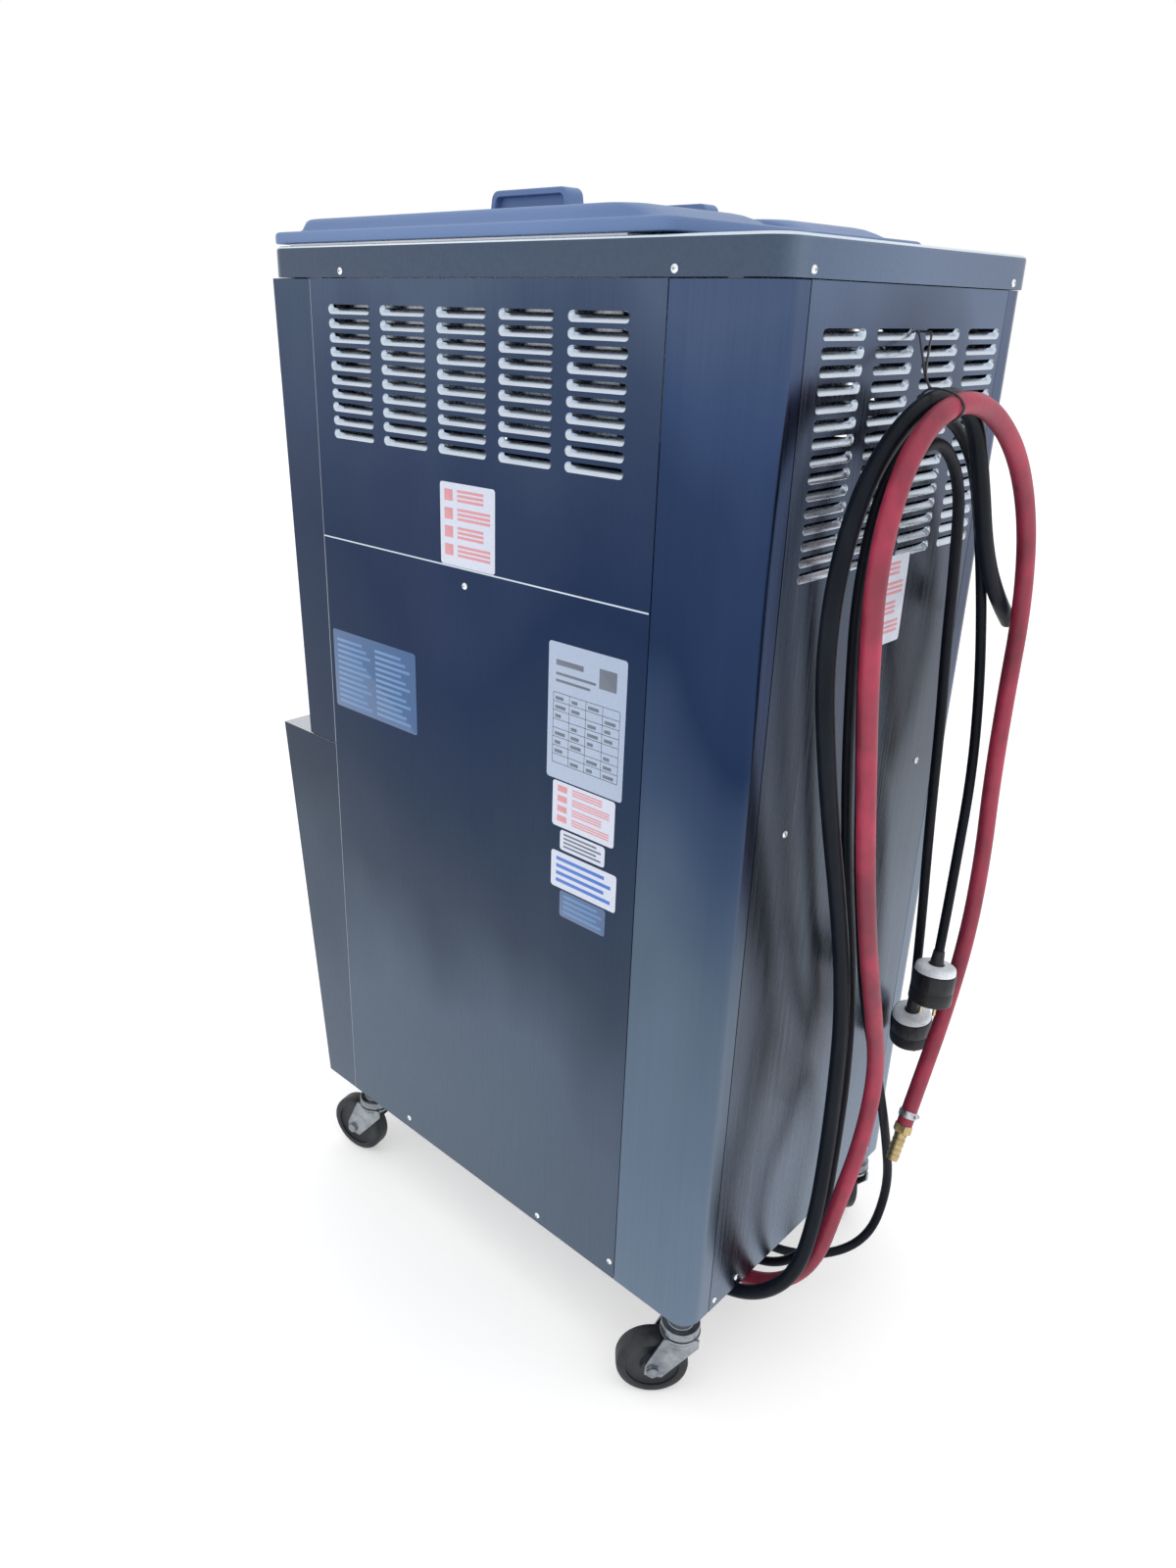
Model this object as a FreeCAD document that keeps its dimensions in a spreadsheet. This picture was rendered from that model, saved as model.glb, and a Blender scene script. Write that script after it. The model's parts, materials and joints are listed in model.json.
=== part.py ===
"""Soft serve machine: a floor-standing twin-cylinder freezer on casters.

Frame: millimetres, +Z up, the operator stands at -Y, the service panel faces +Y.
The origin is on the floor, under the middle of the machine without its free hoses and cords.
"""
import FreeCAD
import Part
import Sketcher

import math
import os
import re

DIMENSIONS = [
    # cabinet
    ("width", 520), ("rear_y", 457.5), ("clearance", 150), ("shelf_level", 780),
    ("split_level", 1090), ("cap_level", 1417), ("cap_tall", 37), ("cap_proud", 2.5),
    ("cap_edge", 6), ("wall", 2), ("seam", 1), ("corner_round", 28),
    ("upper_front_top", 792), ("upper_front_low", 773),
    ("lower_front_top", 845), ("lower_front_low", 782),
    ("seam_front", 710), ("seam_rear", 126), ("seam_half", 211),
    # pressed louvres
    ("slot_long", 84), ("slot_tall", 7), ("side_pitch", 104), ("side_row", 16.8),
    ("side_columns", 5), ("side_rows", 10), ("side_first", 672), ("side_top", 1386),
    ("rear_pitch", 102), ("rear_row", 16.6), ("rear_columns", 4), ("rear_rows", 15),
    ("rear_first", -203), ("rear_top", 1375), ("rear_slot", 80),
    # hoppers and their covers
    ("hopper_near", 22), ("hopper_wide", 216), ("hopper_front", 760), ("hopper_long", 560),
    ("hopper_deep", 200), ("hopper_round", 20), ("rim", 8), ("rim_thick", 3),
    ("cover_near", 8), ("cover_wide", 244), ("cover_front", 804), ("cover_long", 674),
    ("cover_base", 14), ("cover_rise", 16), ("cover_step", 22),
    ("grip_front", 498), ("grip_long", 131), ("grip_wide", 30), ("grip_tall", 27),
    # freezing cylinders, beaters and their drive
    ("axis_level", 1080), ("axis_side", 88), ("tube_outer", 58), ("tube_bore", 52),
    ("tube_front", 765), ("tube_long", 430), ("shaft", 11.92), ("shaft_bore", 12),
    ("gear_front", 330), ("gear_deep", 100), ("pulley_front", 226), ("pulley_wide", 24),
    ("pulley_big", 60), ("pulley_small", 32), ("motor_level", 830), ("motor_round", 72),
    ("belt_gap", 0.4), ("belt_thick", 6), ("belt_wide", 9),
    # freezer door, draw valves and handles
    ("door_half", 160), ("door_low", 985), ("door_tall", 200), ("door_front", 840),
    ("valve_y", 805), ("valve_round", 13.92), ("valve_bore", 14), ("spout_round", 21),
    ("spout_low", 960), ("pivot_y", 848), ("pivot_level", 1200), ("pin_round", 5),
    ("handle_wide", 34), ("front_reach", 920), ("ear_wide", 10), ("hub_round", 11),
    ("stud_side", 140), ("stud_low", 1010), ("stud_high", 1140), ("stud_round", 5),
    ("nut_round", 13), ("nut_long", 23.5), ("mouth_round", 9), ("cap_long", 30),
    ("waist_round", 6.5), ("head_round", 12),
    # serving side
    ("tray_half", 145), ("tray_front", 920), ("tray_back", 795), ("tray_tall", 30),
    ("pan_half", 60), ("pan_low", 870), ("pan_tall", 30), ("pan_long", 350),
    ("bezel_half", 170), ("bezel_low", 1252), ("bezel_tall", 138), ("bezel_thick", 10),
    ("bezel_back", 792),
    # casters
    ("wheel_round", 50), ("wheel_wide", 30), ("trail", 36), ("stem_side", 226),
    ("stem_rear", 33), ("stem_front", 700), ("axle_round", 5), ("kingpin", 8),
    ("fork_top", 108), ("fork_gap", 19), ("fork_plate", 3),
    ("trail_turn_rear", 43), ("trail_turn_front", 12),
    # free hoses and cords
    ("red_hose", 22), ("black_hose", 20), ("mains_cord", 13), ("plug_round", 29),
    ("plug_long", 56), ("gland_face", 130),
]

# Routes as X, Y behind the rear panel and Z, from the gland to the far end.
RED_ROUTE = [
    (106, -130, 126), (106, -70, 122), (102, -10, 120), (94, 43, 148), (78, 77, 202),
    (50, 82, 282), (14, 86, 368), (-4, 84, 472), (34, 84, 582), (76, 84, 692), (108, 82, 808),
    (136, 82, 928), (164, 82, 1052), (178, 82, 1180), (136, 84, 1288), (24, 84, 1318),
    (-96, 84, 1264), (-182, 80, 1172), (-222, 78, 1058), (-222, 78, 936), (-218, 82, 820),
    (-230, 84, 706), (-218, 88, 590), (-180, 90, 482), (-136, 90, 388), (-108, 90, 330),
]
BLACK_ROUTE = [
    (140, -130, 126), (140, -72, 122), (136, -14, 120), (126, 37, 148), (110, 69, 200),
    (88, 72, 278), (66, 64, 366), (56, 58, 466), (60, 56, 566), (82, 56, 666), (112, 55, 762),
    (146, 54, 860), (178, 54, 958), (200, 52, 1058), (198, 52, 1162), (158, 54, 1256),
    (72, 60, 1316), (-28, 60, 1306), (-88, 56, 1222), (-136, 55, 1130), (-200, 54, 1064),
    (-246, 54, 1030),
]
LEFT_CORD_ROUTE = [
    (38, -130, 126), (34, -66, 114), (-18, 14, 88), (-104, 66, 94), (-142, 70, 180),
    (-114, 64, 290), (-76, 60, 392), (-34, 56, 490), (8, 54, 590), (40, 54, 692), (66, 52, 796),
    (88, 52, 900), (108, 50, 1002), (124, 50, 1108), (114, 50, 1220), (38, 54, 1280),
    (-46, 52, 1228), (-84, 44, 1122), (-106, 40, 1018), (-127, 39, 915), (-146, 36, 814),
    (-166, 34, 710), (-184, 34, 602), (-196, 34, 510), (-204, 34, 450),
]
RIGHT_CORD_ROUTE = [
    (72, -130, 126), (70, -68, 120), (60, -4, 120), (44, 40, 158), (20, 52, 226),
    (-10, 40, 318), (-26, 32, 424), (-18, 28, 538), (10, 28, 652), (42, 26, 764), (70, 26, 880),
    (90, 26, 998), (108, 28, 1120), (92, 32, 1236), (-2, 34, 1302), (-106, 32, 1252),
    (-168, 30, 1156), (-206, 34, 1048), (-220, 44, 936), (-208, 58, 826), (-182, 68, 716),
    (-160, 76, 624), (-152, 78, 570),
]

doc = FreeCAD.newDocument("soft_serve_machine")
sheet = doc.addObject("Spreadsheet::Sheet", "sizes")
for row, (alias, value) in enumerate(DIMENSIONS, start=1):
    sheet.set(f"A{row}", alias)
    sheet.set(f"B{row}", str(value))
    sheet.setAlias(f"B{row}", alias)
doc.recompute()

ALIASES = {alias for alias, _ in DIMENSIONS}
Vector = FreeCAD.Vector
nodes = []


# ---------------------------------------------------------------- helpers

def mm(alias):
    """The value of a driving dimension."""
    return float(sheet.get(alias))


def behind(distance):
    """The Y of a plane this far in front of the rear panel's face."""
    return mm("rear_y") - distance


def bind(item, prop, text):
    """Bind a property to an expression in the sheet's aliases."""
    def full(match):
        word = match.group()
        return "sizes." + word if word in ALIASES else word
    item.setExpression(prop, re.sub(r"[a-z_]+", full, str(text)))


def place(item, x, y, z):
    """Bind an object's position, each coordinate an expression."""
    for axis, text in zip("xyz", (x, y, z)):
        bind(item, "Placement.Base." + axis, text)
    return item


def keep(item, label):
    """Name a finished sub-part, so that it is checked and written."""
    item.Label = label
    nodes.append(item)
    return item


def block(name, corner, extent):
    """A plain block from its lowest corner and its extent along X, Y and Z."""
    item = doc.addObject("Part::Box", name)
    for prop, text in zip(("Length", "Width", "Height"), extent):
        bind(item, prop, text)
    return place(item, *corner)


def rod(name, centre, radius, length, along="z"):
    """A round bar that starts at centre and runs along one axis."""
    item = doc.addObject("Part::Cylinder", name)
    bind(item, "Radius", radius)
    bind(item, "Height", length)
    turns = {"z": (Vector(0, 0, 1), 0), "x": (Vector(0, 1, 0), 90), "y": (Vector(1, 0, 0), -90)}
    axis, angle = turns[along]
    item.Placement = FreeCAD.Placement(Vector(), FreeCAD.Rotation(axis, angle))
    return place(item, *centre)


def fuse(name, items):
    """One solid from several."""
    item = doc.addObject("Part::MultiFuse", name)
    item.Shapes = items
    return item


def cut(name, base, tools):
    """A base with tools taken out of it."""
    tool = tools[0] if len(tools) == 1 else fuse(name + "_tools", tools)
    item = doc.addObject("Part::Cut", name)
    item.Base = base
    item.Tool = tool
    return item


def group(name, items):
    """Several separate solids in one sub-part."""
    item = doc.addObject("Part::Compound", name)
    item.Links = items
    return item


def mirrored(item):
    """The same piece on the machine's other side."""
    twin = doc.addObject("Part::Mirroring", item.Name + "_twin")
    twin.Source = item
    twin.Normal = Vector(1, 0, 0)
    return twin


def body(name):
    return doc.addObject("PartDesign::Body", name)


def origin_of(owner, role):
    return next(f for f in owner.Origin.OriginFeatures if f.Role == role)


def solid_box(owner, kind, corner, extent):
    """An additive or subtractive block inside a body."""
    item = owner.newObject("PartDesign::" + kind + "Box", owner.Name + "_" + kind.lower())
    for prop, text in zip(("Length", "Width", "Height"), extent):
        bind(item, prop, text)
    place(item, *corner)
    doc.recompute()
    return item


def grid(owner, feature, axes, spacings, counts):
    """Repeat a feature in rows and columns."""
    pattern = owner.newObject("PartDesign::LinearPattern", owner.Name + "_grid")
    pattern.Originals = [feature]
    for suffix, axis, spacing, count in zip(("", "2"), axes, spacings, counts):
        setattr(pattern, "Direction" + suffix, (origin_of(owner, axis), [""]))
        setattr(pattern, "Mode" + suffix, "Spacing")
        bind(pattern, "Offset" + suffix, spacing)
        bind(pattern, "Occurrences" + suffix, count)
    owner.Tip = pattern
    doc.recompute()
    return pattern


def round_edges(owner, chosen, radius):
    """Round the edges of the body's tip for which chosen(edge) holds."""
    base = owner.Tip
    names = [f"Edge{i}" for i, e in enumerate(base.Shape.Edges, start=1) if chosen(e)]
    item = owner.newObject("PartDesign::Fillet", owner.Name + "_round")
    item.Base = (base, names)
    bind(item, "Radius", radius)
    doc.recompute()
    return item


def upright(edge, x=None, y=None):
    """True for a vertical edge, at that X and Y where they are given."""
    a, b = (v.Point for v in (edge.Vertexes[0], edge.Vertexes[-1]))
    if abs(a.x - b.x) > 0.01 or abs(a.y - b.y) > 0.01 or abs(a.z - b.z) < 1:
        return False
    right_x = x is None or min(abs(a.x - v) for v in x) < 0.01
    return right_x and (y is None or min(abs(a.y - v) for v in y) < 0.01)


def outline(owner, role, points, offset="0"):
    """A closed sketch on an origin plane, its corners bound to expressions."""
    sketch = owner.newObject("Sketcher::SketchObject", owner.Name + "_sketch")
    sketch.AttachmentSupport = [(origin_of(owner, role), "")]
    sketch.MapMode = "FlatFace"
    bind(sketch, "AttachmentOffset.Base.z", offset)
    rough = [Vector(i * 7.0, (i * i) % 5 * 3.0, 0) for i in range(len(points))]
    for i, start in enumerate(rough):
        sketch.addGeometry(Part.LineSegment(start, rough[(i + 1) % len(rough)]), False)
    for i in range(len(points)):
        sketch.addConstraint(Sketcher.Constraint("Coincident", i, 2, (i + 1) % len(points), 1))
    for i, (across, up) in enumerate(points):
        for kind, text in (("DistanceX", across), ("DistanceY", up)):
            index = sketch.addConstraint(Sketcher.Constraint(kind, -1, 1, i, 1, 1.0))
            bind(sketch, f"Constraints[{index}]", text)
    doc.recompute()
    return sketch


def pad(owner, sketch, length, kind="Pad", middle=True):
    """A pad or a pocket of a sketch, on both sides of its plane."""
    item = owner.newObject("PartDesign::" + kind, owner.Name + "_" + kind.lower())
    item.Profile = sketch
    bind(item, "Length", length)
    item.SideType = "Symmetric" if middle else "One side"
    doc.recompute()
    return item


def turned(owner, sketch, role="Z_Axis"):
    """A full revolution of a sketch about one of the body's axes."""
    item = owner.newObject("PartDesign::Revolution", owner.Name + "_turned")
    item.Profile = sketch
    item.ReferenceAxis = (origin_of(owner, role), [""])
    item.Angle = 360
    doc.recompute()
    return item


# ---------------------------------------------------------------- cabinet

def base_frame():
    """Welded chassis: a deck plate on two long and three cross rails."""
    rails = [block("deck", ("-255", "rear_y-770", "187"), ("510", "748", "3"))]
    for side in ("-255", "215"):
        rails.append(block("long_rail", (side, "rear_y-770", "152"), ("40", "748", "35")))
    for start in (770, 400, 62):
        rails.append(block("cross_rail", ("-255", f"rear_y-{start}", "152"), ("510", "40", "35")))
    keep(fuse("chassis", rails), "base_frame")


def frame_uprights():
    """Four square posts between the chassis and the top cover."""
    posts = []
    for x in ("-257", "240"):
        for y in ("rear_y-60", "rear_y-704"):
            posts.append(block("post", (x, y, "190"), ("17", "17", "cap_level-190")))
    keep(group("posts", posts), "frame_uprights")


def top_cover():
    """Folded lid of the cabinet with a skirt all round and two hopper openings."""
    cap = body("cap")
    solid_box(cap, "Additive", ("-width/2-cap_proud", "rear_y-upper_front_top-cap_proud", "cap_level"),
              ("width+2*cap_proud", "upper_front_top+2*cap_proud", "cap_tall"))
    solid_box(cap, "Subtractive",
              ("-width/2-cap_proud+wall", "rear_y-upper_front_top-cap_proud+wall", "cap_level-1"),
              ("width+2*cap_proud-2*wall", "upper_front_top+2*cap_proud-2*wall", "cap_tall+1-wall"))
    outer = mm("width") / 2 + mm("cap_proud")
    inner = outer - mm("wall")
    round_edges(cap, lambda e: upright(e, x=[inner, -inner]), "corner_round-wall")
    round_edges(cap, lambda e: upright(e, x=[outer, -outer]), "corner_round")
    top = mm("cap_level") + mm("cap_tall")
    round_edges(cap, lambda e: all(abs(v.Z - top) < 0.01 for v in e.Vertexes), "cap_edge")
    for start in ("hopper_near-2", "-hopper_near-hopper_wide-2"):
        solid_box(cap, "Subtractive", (start, "rear_y-hopper_front-2", "cap_level+cap_tall-10"),
                  ("hopper_wide+4", "hopper_long+4", "20"))
    keep(cap, "top_cover")


def side_panels():
    """Upper louvred panels and lower plain panels, one of each on either side."""
    upper = body("side_upper")
    solid_box(upper, "Additive", ("width/2-wall", "rear_y-seam_front+seam", "split_level+seam"),
              ("wall", "seam_front-seam_rear-2*seam", "cap_level-split_level-2*seam"))
    slot = solid_box(upper, "Subtractive",
                     ("width/2-2*wall", "rear_y-side_first",
                      "side_top-slot_tall-(side_rows-1)*side_row"),
                     ("3*wall", "slot_long", "slot_tall"))
    grid(upper, slot, ("Y_Axis", "Z_Axis"), ("side_pitch", "side_row"),
         ("side_columns", "side_rows"))
    keep(group("side_uppers", [upper, mirrored(upper)]), "side_panels_upper")
    lower = body("side_lower")
    solid_box(lower, "Additive", ("width/2-wall", "rear_y-seam_front+seam", "clearance"),
              ("wall", "seam_front-seam_rear-2*seam", "split_level-clearance"))
    keep(group("side_lowers", [lower, mirrored(lower)]), "side_panels_lower")


def corner_panels():
    """Rounded wraps that join each side to the back."""
    wrap = body("corner_wrap")
    tall = "cap_level-clearance-seam"
    solid_box(wrap, "Additive", ("seam_half+seam", "rear_y-seam_rear", "clearance"),
              ("width/2-seam_half-seam", "seam_rear", tall))
    solid_box(wrap, "Subtractive", ("seam_half", "rear_y-seam_rear-1", "clearance-1"),
              ("width/2-seam_half-wall", "seam_rear+1-wall", "cap_level"))
    inner = mm("width") / 2 - mm("wall")
    round_edges(wrap, lambda e: upright(e, x=[inner], y=[behind(mm("wall"))]), "corner_round-wall")
    round_edges(wrap, lambda e: upright(e, x=[mm("width") / 2], y=[behind(0)]), "corner_round")
    keep(group("corner_wraps", [wrap, mirrored(wrap)]), "corner_panels_rear")


def rear_panel():
    """Lift-off service panel with fifteen rows of louvres."""
    panel = body("service_panel")
    solid_box(panel, "Additive", ("-seam_half", "rear_y-wall", "clearance"),
              ("2*seam_half", "wall", "cap_level-clearance-seam"))
    slot = solid_box(panel, "Subtractive",
                     ("rear_first", "rear_y-2*wall", "rear_top-slot_tall-(rear_rows-1)*rear_row"),
                     ("rear_slot", "3*wall", "slot_tall"))
    grid(panel, slot, ("X_Axis", "Z_Axis"), ("rear_pitch", "rear_row"),
         ("rear_columns", "rear_rows"))
    keep(panel, "rear_panel")


def front_shell():
    """Upper front wrap: a leaning face with two side returns, open behind."""
    shell = body("front_wrap")
    low, top = "shelf_level+seam", "cap_level-seam"
    outer = outline(shell, "YZ_Plane", [
        ("rear_y-upper_front_low", low), ("rear_y-seam_front", low),
        ("rear_y-seam_front", top), ("rear_y-upper_front_top", top)])
    pad(shell, outer, "width")
    inner = outline(shell, "YZ_Plane", [
        ("rear_y-upper_front_low+wall", "shelf_level-1"), ("rear_y-seam_front+wall", "shelf_level-1"),
        ("rear_y-seam_front+wall", "cap_level+1"), ("rear_y-upper_front_top+wall", "cap_level+1")])
    pad(shell, inner, "width-2*wall", kind="Pocket")
    solid_box(shell, "Subtractive", ("-door_half-5", "rear_y-upper_front_top-5", "door_low-8"),
              ("2*door_half+10", "60", "door_tall+16"))
    solid_box(shell, "Subtractive", ("-pan_half-2", "rear_y-upper_front_top-5", "pan_low-2"),
              ("2*pan_half+4", "60", "pan_tall+4"))
    keep(shell, "front_shell")


def front_lower_panel():
    """Lower front box: it carries the shelf and slopes back to a toe space."""
    box = body("lower_front")
    outer = outline(box, "YZ_Plane", [
        ("rear_y-lower_front_low", "clearance"), ("rear_y-seam_front", "clearance"),
        ("rear_y-seam_front", "shelf_level"), ("rear_y-lower_front_top", "shelf_level")])
    pad(box, outer, "width")
    inner = outline(box, "YZ_Plane", [
        ("rear_y-lower_front_low+wall", "clearance-1"), ("rear_y-seam_front+wall", "clearance-1"),
        ("rear_y-seam_front+wall", "shelf_level-wall"),
        ("rear_y-lower_front_top+wall", "shelf_level-wall")])
    pad(box, inner, "width-2*wall", kind="Pocket")
    keep(box, "front_lower_panel")


def panel_screws():
    """Round-headed screws that hold the panels."""
    head, tall = 4.5, mm("cap_proud")
    side = [(-419, 1069), (-565, 170), (-274, 164), (-135, 177)]
    rear = [(200, 164), (150, 167), (152, 840), (-160, 845), (-162, 173), (-200, 173)]
    cap_side = [(-118, 1424), (-640, 1424)]
    cap_rear = [(214, 1424), (-214, 1424)]
    heads = []
    for hand in (1, -1):
        for proud, spots in ((0, side), (mm("cap_proud"), cap_side)):
            for y, z in spots:
                face = Vector(hand * (mm("width") / 2 + proud), mm("rear_y") + y, z)
                heads.append(Part.makeCylinder(head, tall, face, Vector(hand, 0, 0)))
    for proud, spots in ((0, rear), (mm("cap_proud"), cap_rear)):
        for x, z in spots:
            heads.append(Part.makeCylinder(head, tall, Vector(x, mm("rear_y") + proud, z), Vector(0, 1, 0)))
    item = doc.addObject("Part::Feature", "screw_heads")
    item.Shape = Part.makeCompound(heads)
    keep(item, "panel_screws")


def label_plates():
    """Thin blank plates stuck to the right side and the back."""
    thick = 0.8
    side = [(-462, 1091.5, 97, 100), (-700, 845, 182, 115), (-273, 862, 120, 170),
            (-262, 800, 100, 60), (-248, 770, 73, 27), (-262, 716, 107, 50), (-246, 677, 76, 37)]
    plates = []
    for y, z, along, tall in side:
        corner = Vector(mm("width") / 2, mm("rear_y") + y, z)
        plates.append(Part.makeBox(thick, along, tall, corner))
    plates.append(Part.makeBox(97, thick, 105, Vector(-57, mm("rear_y"), 1030)))
    item = doc.addObject("Part::Feature", "plates")
    item.Shape = Part.makeCompound(plates)
    keep(item, "label_plates")


# ---------------------------------------------------------------- hoppers

def hoppers():
    """Two mix tubs with a rim that hangs on the top cover."""
    tub = body("tub")
    level = "cap_level+cap_tall"
    solid_box(tub, "Additive", ("hopper_near", "rear_y-hopper_front", level + "-hopper_deep"),
              ("hopper_wide", "hopper_long", "hopper_deep+1"))
    solid_box(tub, "Additive", ("hopper_near-rim", "rear_y-hopper_front-rim", level + "+0.2"),
              ("hopper_wide+2*rim", "hopper_long+2*rim", "rim_thick-0.2"))
    solid_box(tub, "Subtractive",
              ("hopper_near+wall", "rear_y-hopper_front+wall", level + "-hopper_deep+wall"),
              ("hopper_wide-2*wall", "hopper_long-2*wall", "hopper_deep+10"))
    outer = [mm("hopper_near"), mm("hopper_near") + mm("hopper_wide")]
    inner = [outer[0] + mm("wall"), outer[1] - mm("wall")]
    round_edges(tub, lambda e: upright(e, x=inner), "hopper_round-wall")
    round_edges(tub, lambda e: upright(e, x=outer), "hopper_round")
    keep(group("tubs", [tub, mirrored(tub)]), "hoppers")


def hopper_cover():
    """Moulded cover: a stepped tray with a grip along its middle."""
    cover = body("cover")
    base = "cap_level+cap_tall+rim_thick+0.4"
    solid_box(cover, "Additive", ("cover_near", "rear_y-cover_front", base),
              ("cover_wide", "cover_long", "cover_base"))
    round_edges(cover, upright, "18")
    lower_top = mm("cap_level") + mm("cap_tall") + mm("rim_thick") + 0.4 + mm("cover_base")
    round_edges(cover, lambda e: all(abs(v.Z - lower_top) < 0.01 for v in e.Vertexes), "6")
    solid_box(cover, "Additive",
              ("cover_near+cover_step", "rear_y-cover_front+cover_step+10", base + "+cover_base"),
              ("cover_wide-2*cover_step", "cover_long-3*cover_step", "cover_rise"))
    solid_box(cover, "Additive",
              ("cover_near+cover_wide/2-grip_wide/2", "rear_y-grip_front", base + "+cover_base"),
              ("grip_wide", "grip_long", "cover_rise+grip_tall"))
    right = keep(cover, "hopper_cover_right")
    keep(mirrored(right), "hopper_cover_left")


# ---------------------------------------------------------------- freezing and drive

def freezing_cylinders():
    """Two horizontal barrels, each with a closed rear end that the shaft passes through."""
    barrels = []
    for side in ("axis_side", "-axis_side"):
        outer = rod("barrel", (side, "rear_y-tube_front", "axis_level"), "tube_outer", "tube_long", "y")
        bore = rod("barrel_bore", (side, "rear_y-tube_front-1", "axis_level"), "tube_bore", "tube_long-9", "y")
        hole = rod("shaft_hole", (side, "rear_y-tube_front", "axis_level"), "shaft_bore", "tube_long+1", "y")
        barrels.append(cut("barrel_cut", outer, [bore, hole]))
    keep(group("barrels", barrels), "freezing_cylinders")


def beaters():
    """Dashers: two end rings, four scraper bars and a drive shaft."""
    for label, side in (("beater_right", "axis_side"), ("beater_left", "-axis_side")):
        pieces = [
            rod("dasher_shaft", (side, "rear_y-745", "axis_level"), "shaft",
                "745-gear_front+40", "y")]
        for start in (745, 560, 375):
            pieces.append(rod("dasher_disc", (side, f"rear_y-{start}", "axis_level"), "tube_bore-4", "8", "y"))
        for dx, dz in ((40, 0), (-40, 0), (0, 40), (0, -40)):
            pieces.append(block("scraper", (f"{side}-5+({dx})", "rear_y-745", f"axis_level-5+({dz})"),
                                ("10", "378", "10")))
        keep(fuse("dasher", pieces), label)


def gear_units():
    """Reduction gear cases behind the barrels."""
    cases = []
    for side in ("axis_side", "-axis_side"):
        case = block("gear_case", (side + "-50", "rear_y-gear_front", "axis_level-50"),
                     ("100", "gear_deep", "100"))
        front = rod("front_bore", (side, "rear_y-gear_front-1", "axis_level"), "shaft_bore", "45", "y")
        back = rod("back_bore", (side, "rear_y-gear_front+gear_deep-40", "axis_level"), "8", "41", "y")
        cases.append(cut("gear_case_cut", case, [front, back]))
    keep(group("gear_cases", cases), "gear_units")


def grooved_pulley(name, radius, grooves, shaft_long):
    """A pulley turned about Y, with a shaft stub towards -Y."""
    wheel = body(name)
    wide = mm("pulley_wide")
    depth = mm("belt_thick")
    points = [("0", f"{-shaft_long}"), ("7.92", f"{-shaft_long}"), ("7.92", "0"), (radius, "0")]
    for start in grooves:
        points += [(radius, f"{start}"), (f"{radius}-{depth}", f"{start}"),
                   (f"{radius}-{depth}", f"{start}+belt_wide+1"), (radius, f"{start}+belt_wide+1")]
    points += [(radius, f"{wide}"), ("0", f"{wide}")]
    turned(wheel, outline(wheel, "XY_Plane", points), "Y_Axis")
    return wheel


def pulleys_and_belts():
    """A two-groove motor pulley drives a pulley on each gear case."""
    front = behind(mm("pulley_front"))
    small = grooved_pulley("motor_pulley_body", "pulley_small", (1, 12.5), 60)
    place(small, "0", "rear_y-pulley_front", "motor_level")
    keep(small, "motor_pulley")
    for label, side, groove in (("gear_pulley_right", "axis_side", 1), ("gear_pulley_left", "-axis_side", 12.5)):
        big = grooved_pulley(label + "_body", "pulley_big", (groove,), 38)
        place(big, side, "rear_y-pulley_front", "axis_level")
        keep(big, label)
    belts = []
    gap = mm("belt_gap") - mm("belt_thick")
    for side, groove in ((mm("axis_side"), 1.5), (-mm("axis_side"), 13)):
        loops = []
        for extra in (mm("belt_thick"), 0):
            small_round = mm("pulley_small") + gap + extra
            big_round = mm("pulley_big") + gap + extra
            loops.append(belt_face(side, small_round, big_round, front + groove))
        ring = loops[0].cut(loops[1])
        belts.append(ring.extrude(Vector(0, mm("belt_wide"), 0)))
    item = doc.addObject("Part::Feature", "belts")
    item.Shape = Part.makeCompound(belts)
    keep(item, "drive_belts")


def belt_face(side, small_round, big_round, y):
    """The area inside an open belt round the motor pulley and one gear pulley."""
    low = Vector(0, y, mm("motor_level"))
    high = Vector(side, y, mm("axis_level"))
    run = high - low
    reach = run.Length
    lean = math.atan2(run.x, run.z)
    open_angle = math.asin((big_round - small_round) / reach)
    normal = Vector(0, 1, 0)

    def on(centre, radius, angle):
        return centre + Vector(math.cos(angle), 0, -math.sin(angle)) * radius

    right = lean + open_angle
    left = lean + math.pi - open_angle
    a, b = on(low, small_round, right), on(high, big_round, right)
    c, d = on(high, big_round, left), on(low, small_round, left)
    over = on(high, big_round, lean - math.pi / 2)
    under = on(low, small_round, lean + math.pi / 2)
    wire = Part.Wire([Part.LineSegment(a, b).toShape(), Part.Arc(b, over, c).toShape(),
                      Part.LineSegment(c, d).toShape(), Part.Arc(d, under, a).toShape()])
    face = Part.Face(wire)
    return face if face.normalAt(0, 0).dot(normal) > 0 else face.reversed()


def beater_motor():
    """One foot-mounted motor, its shaft end open for the pulley."""
    case = rod("motor_case", ("0", "rear_y-430", "motor_level"), "motor_round", "190", "y")
    foot = block("motor_foot", ("-70", "rear_y-410", "motor_level-motor_round-12"), ("140", "150", "30"))
    bore = rod("motor_bore", ("0", "rear_y-310", "motor_level"), "8", "80", "y")
    keep(cut("motor_cut", fuse("motor_all", [case, foot]), [bore]), "beater_motor")


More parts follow.
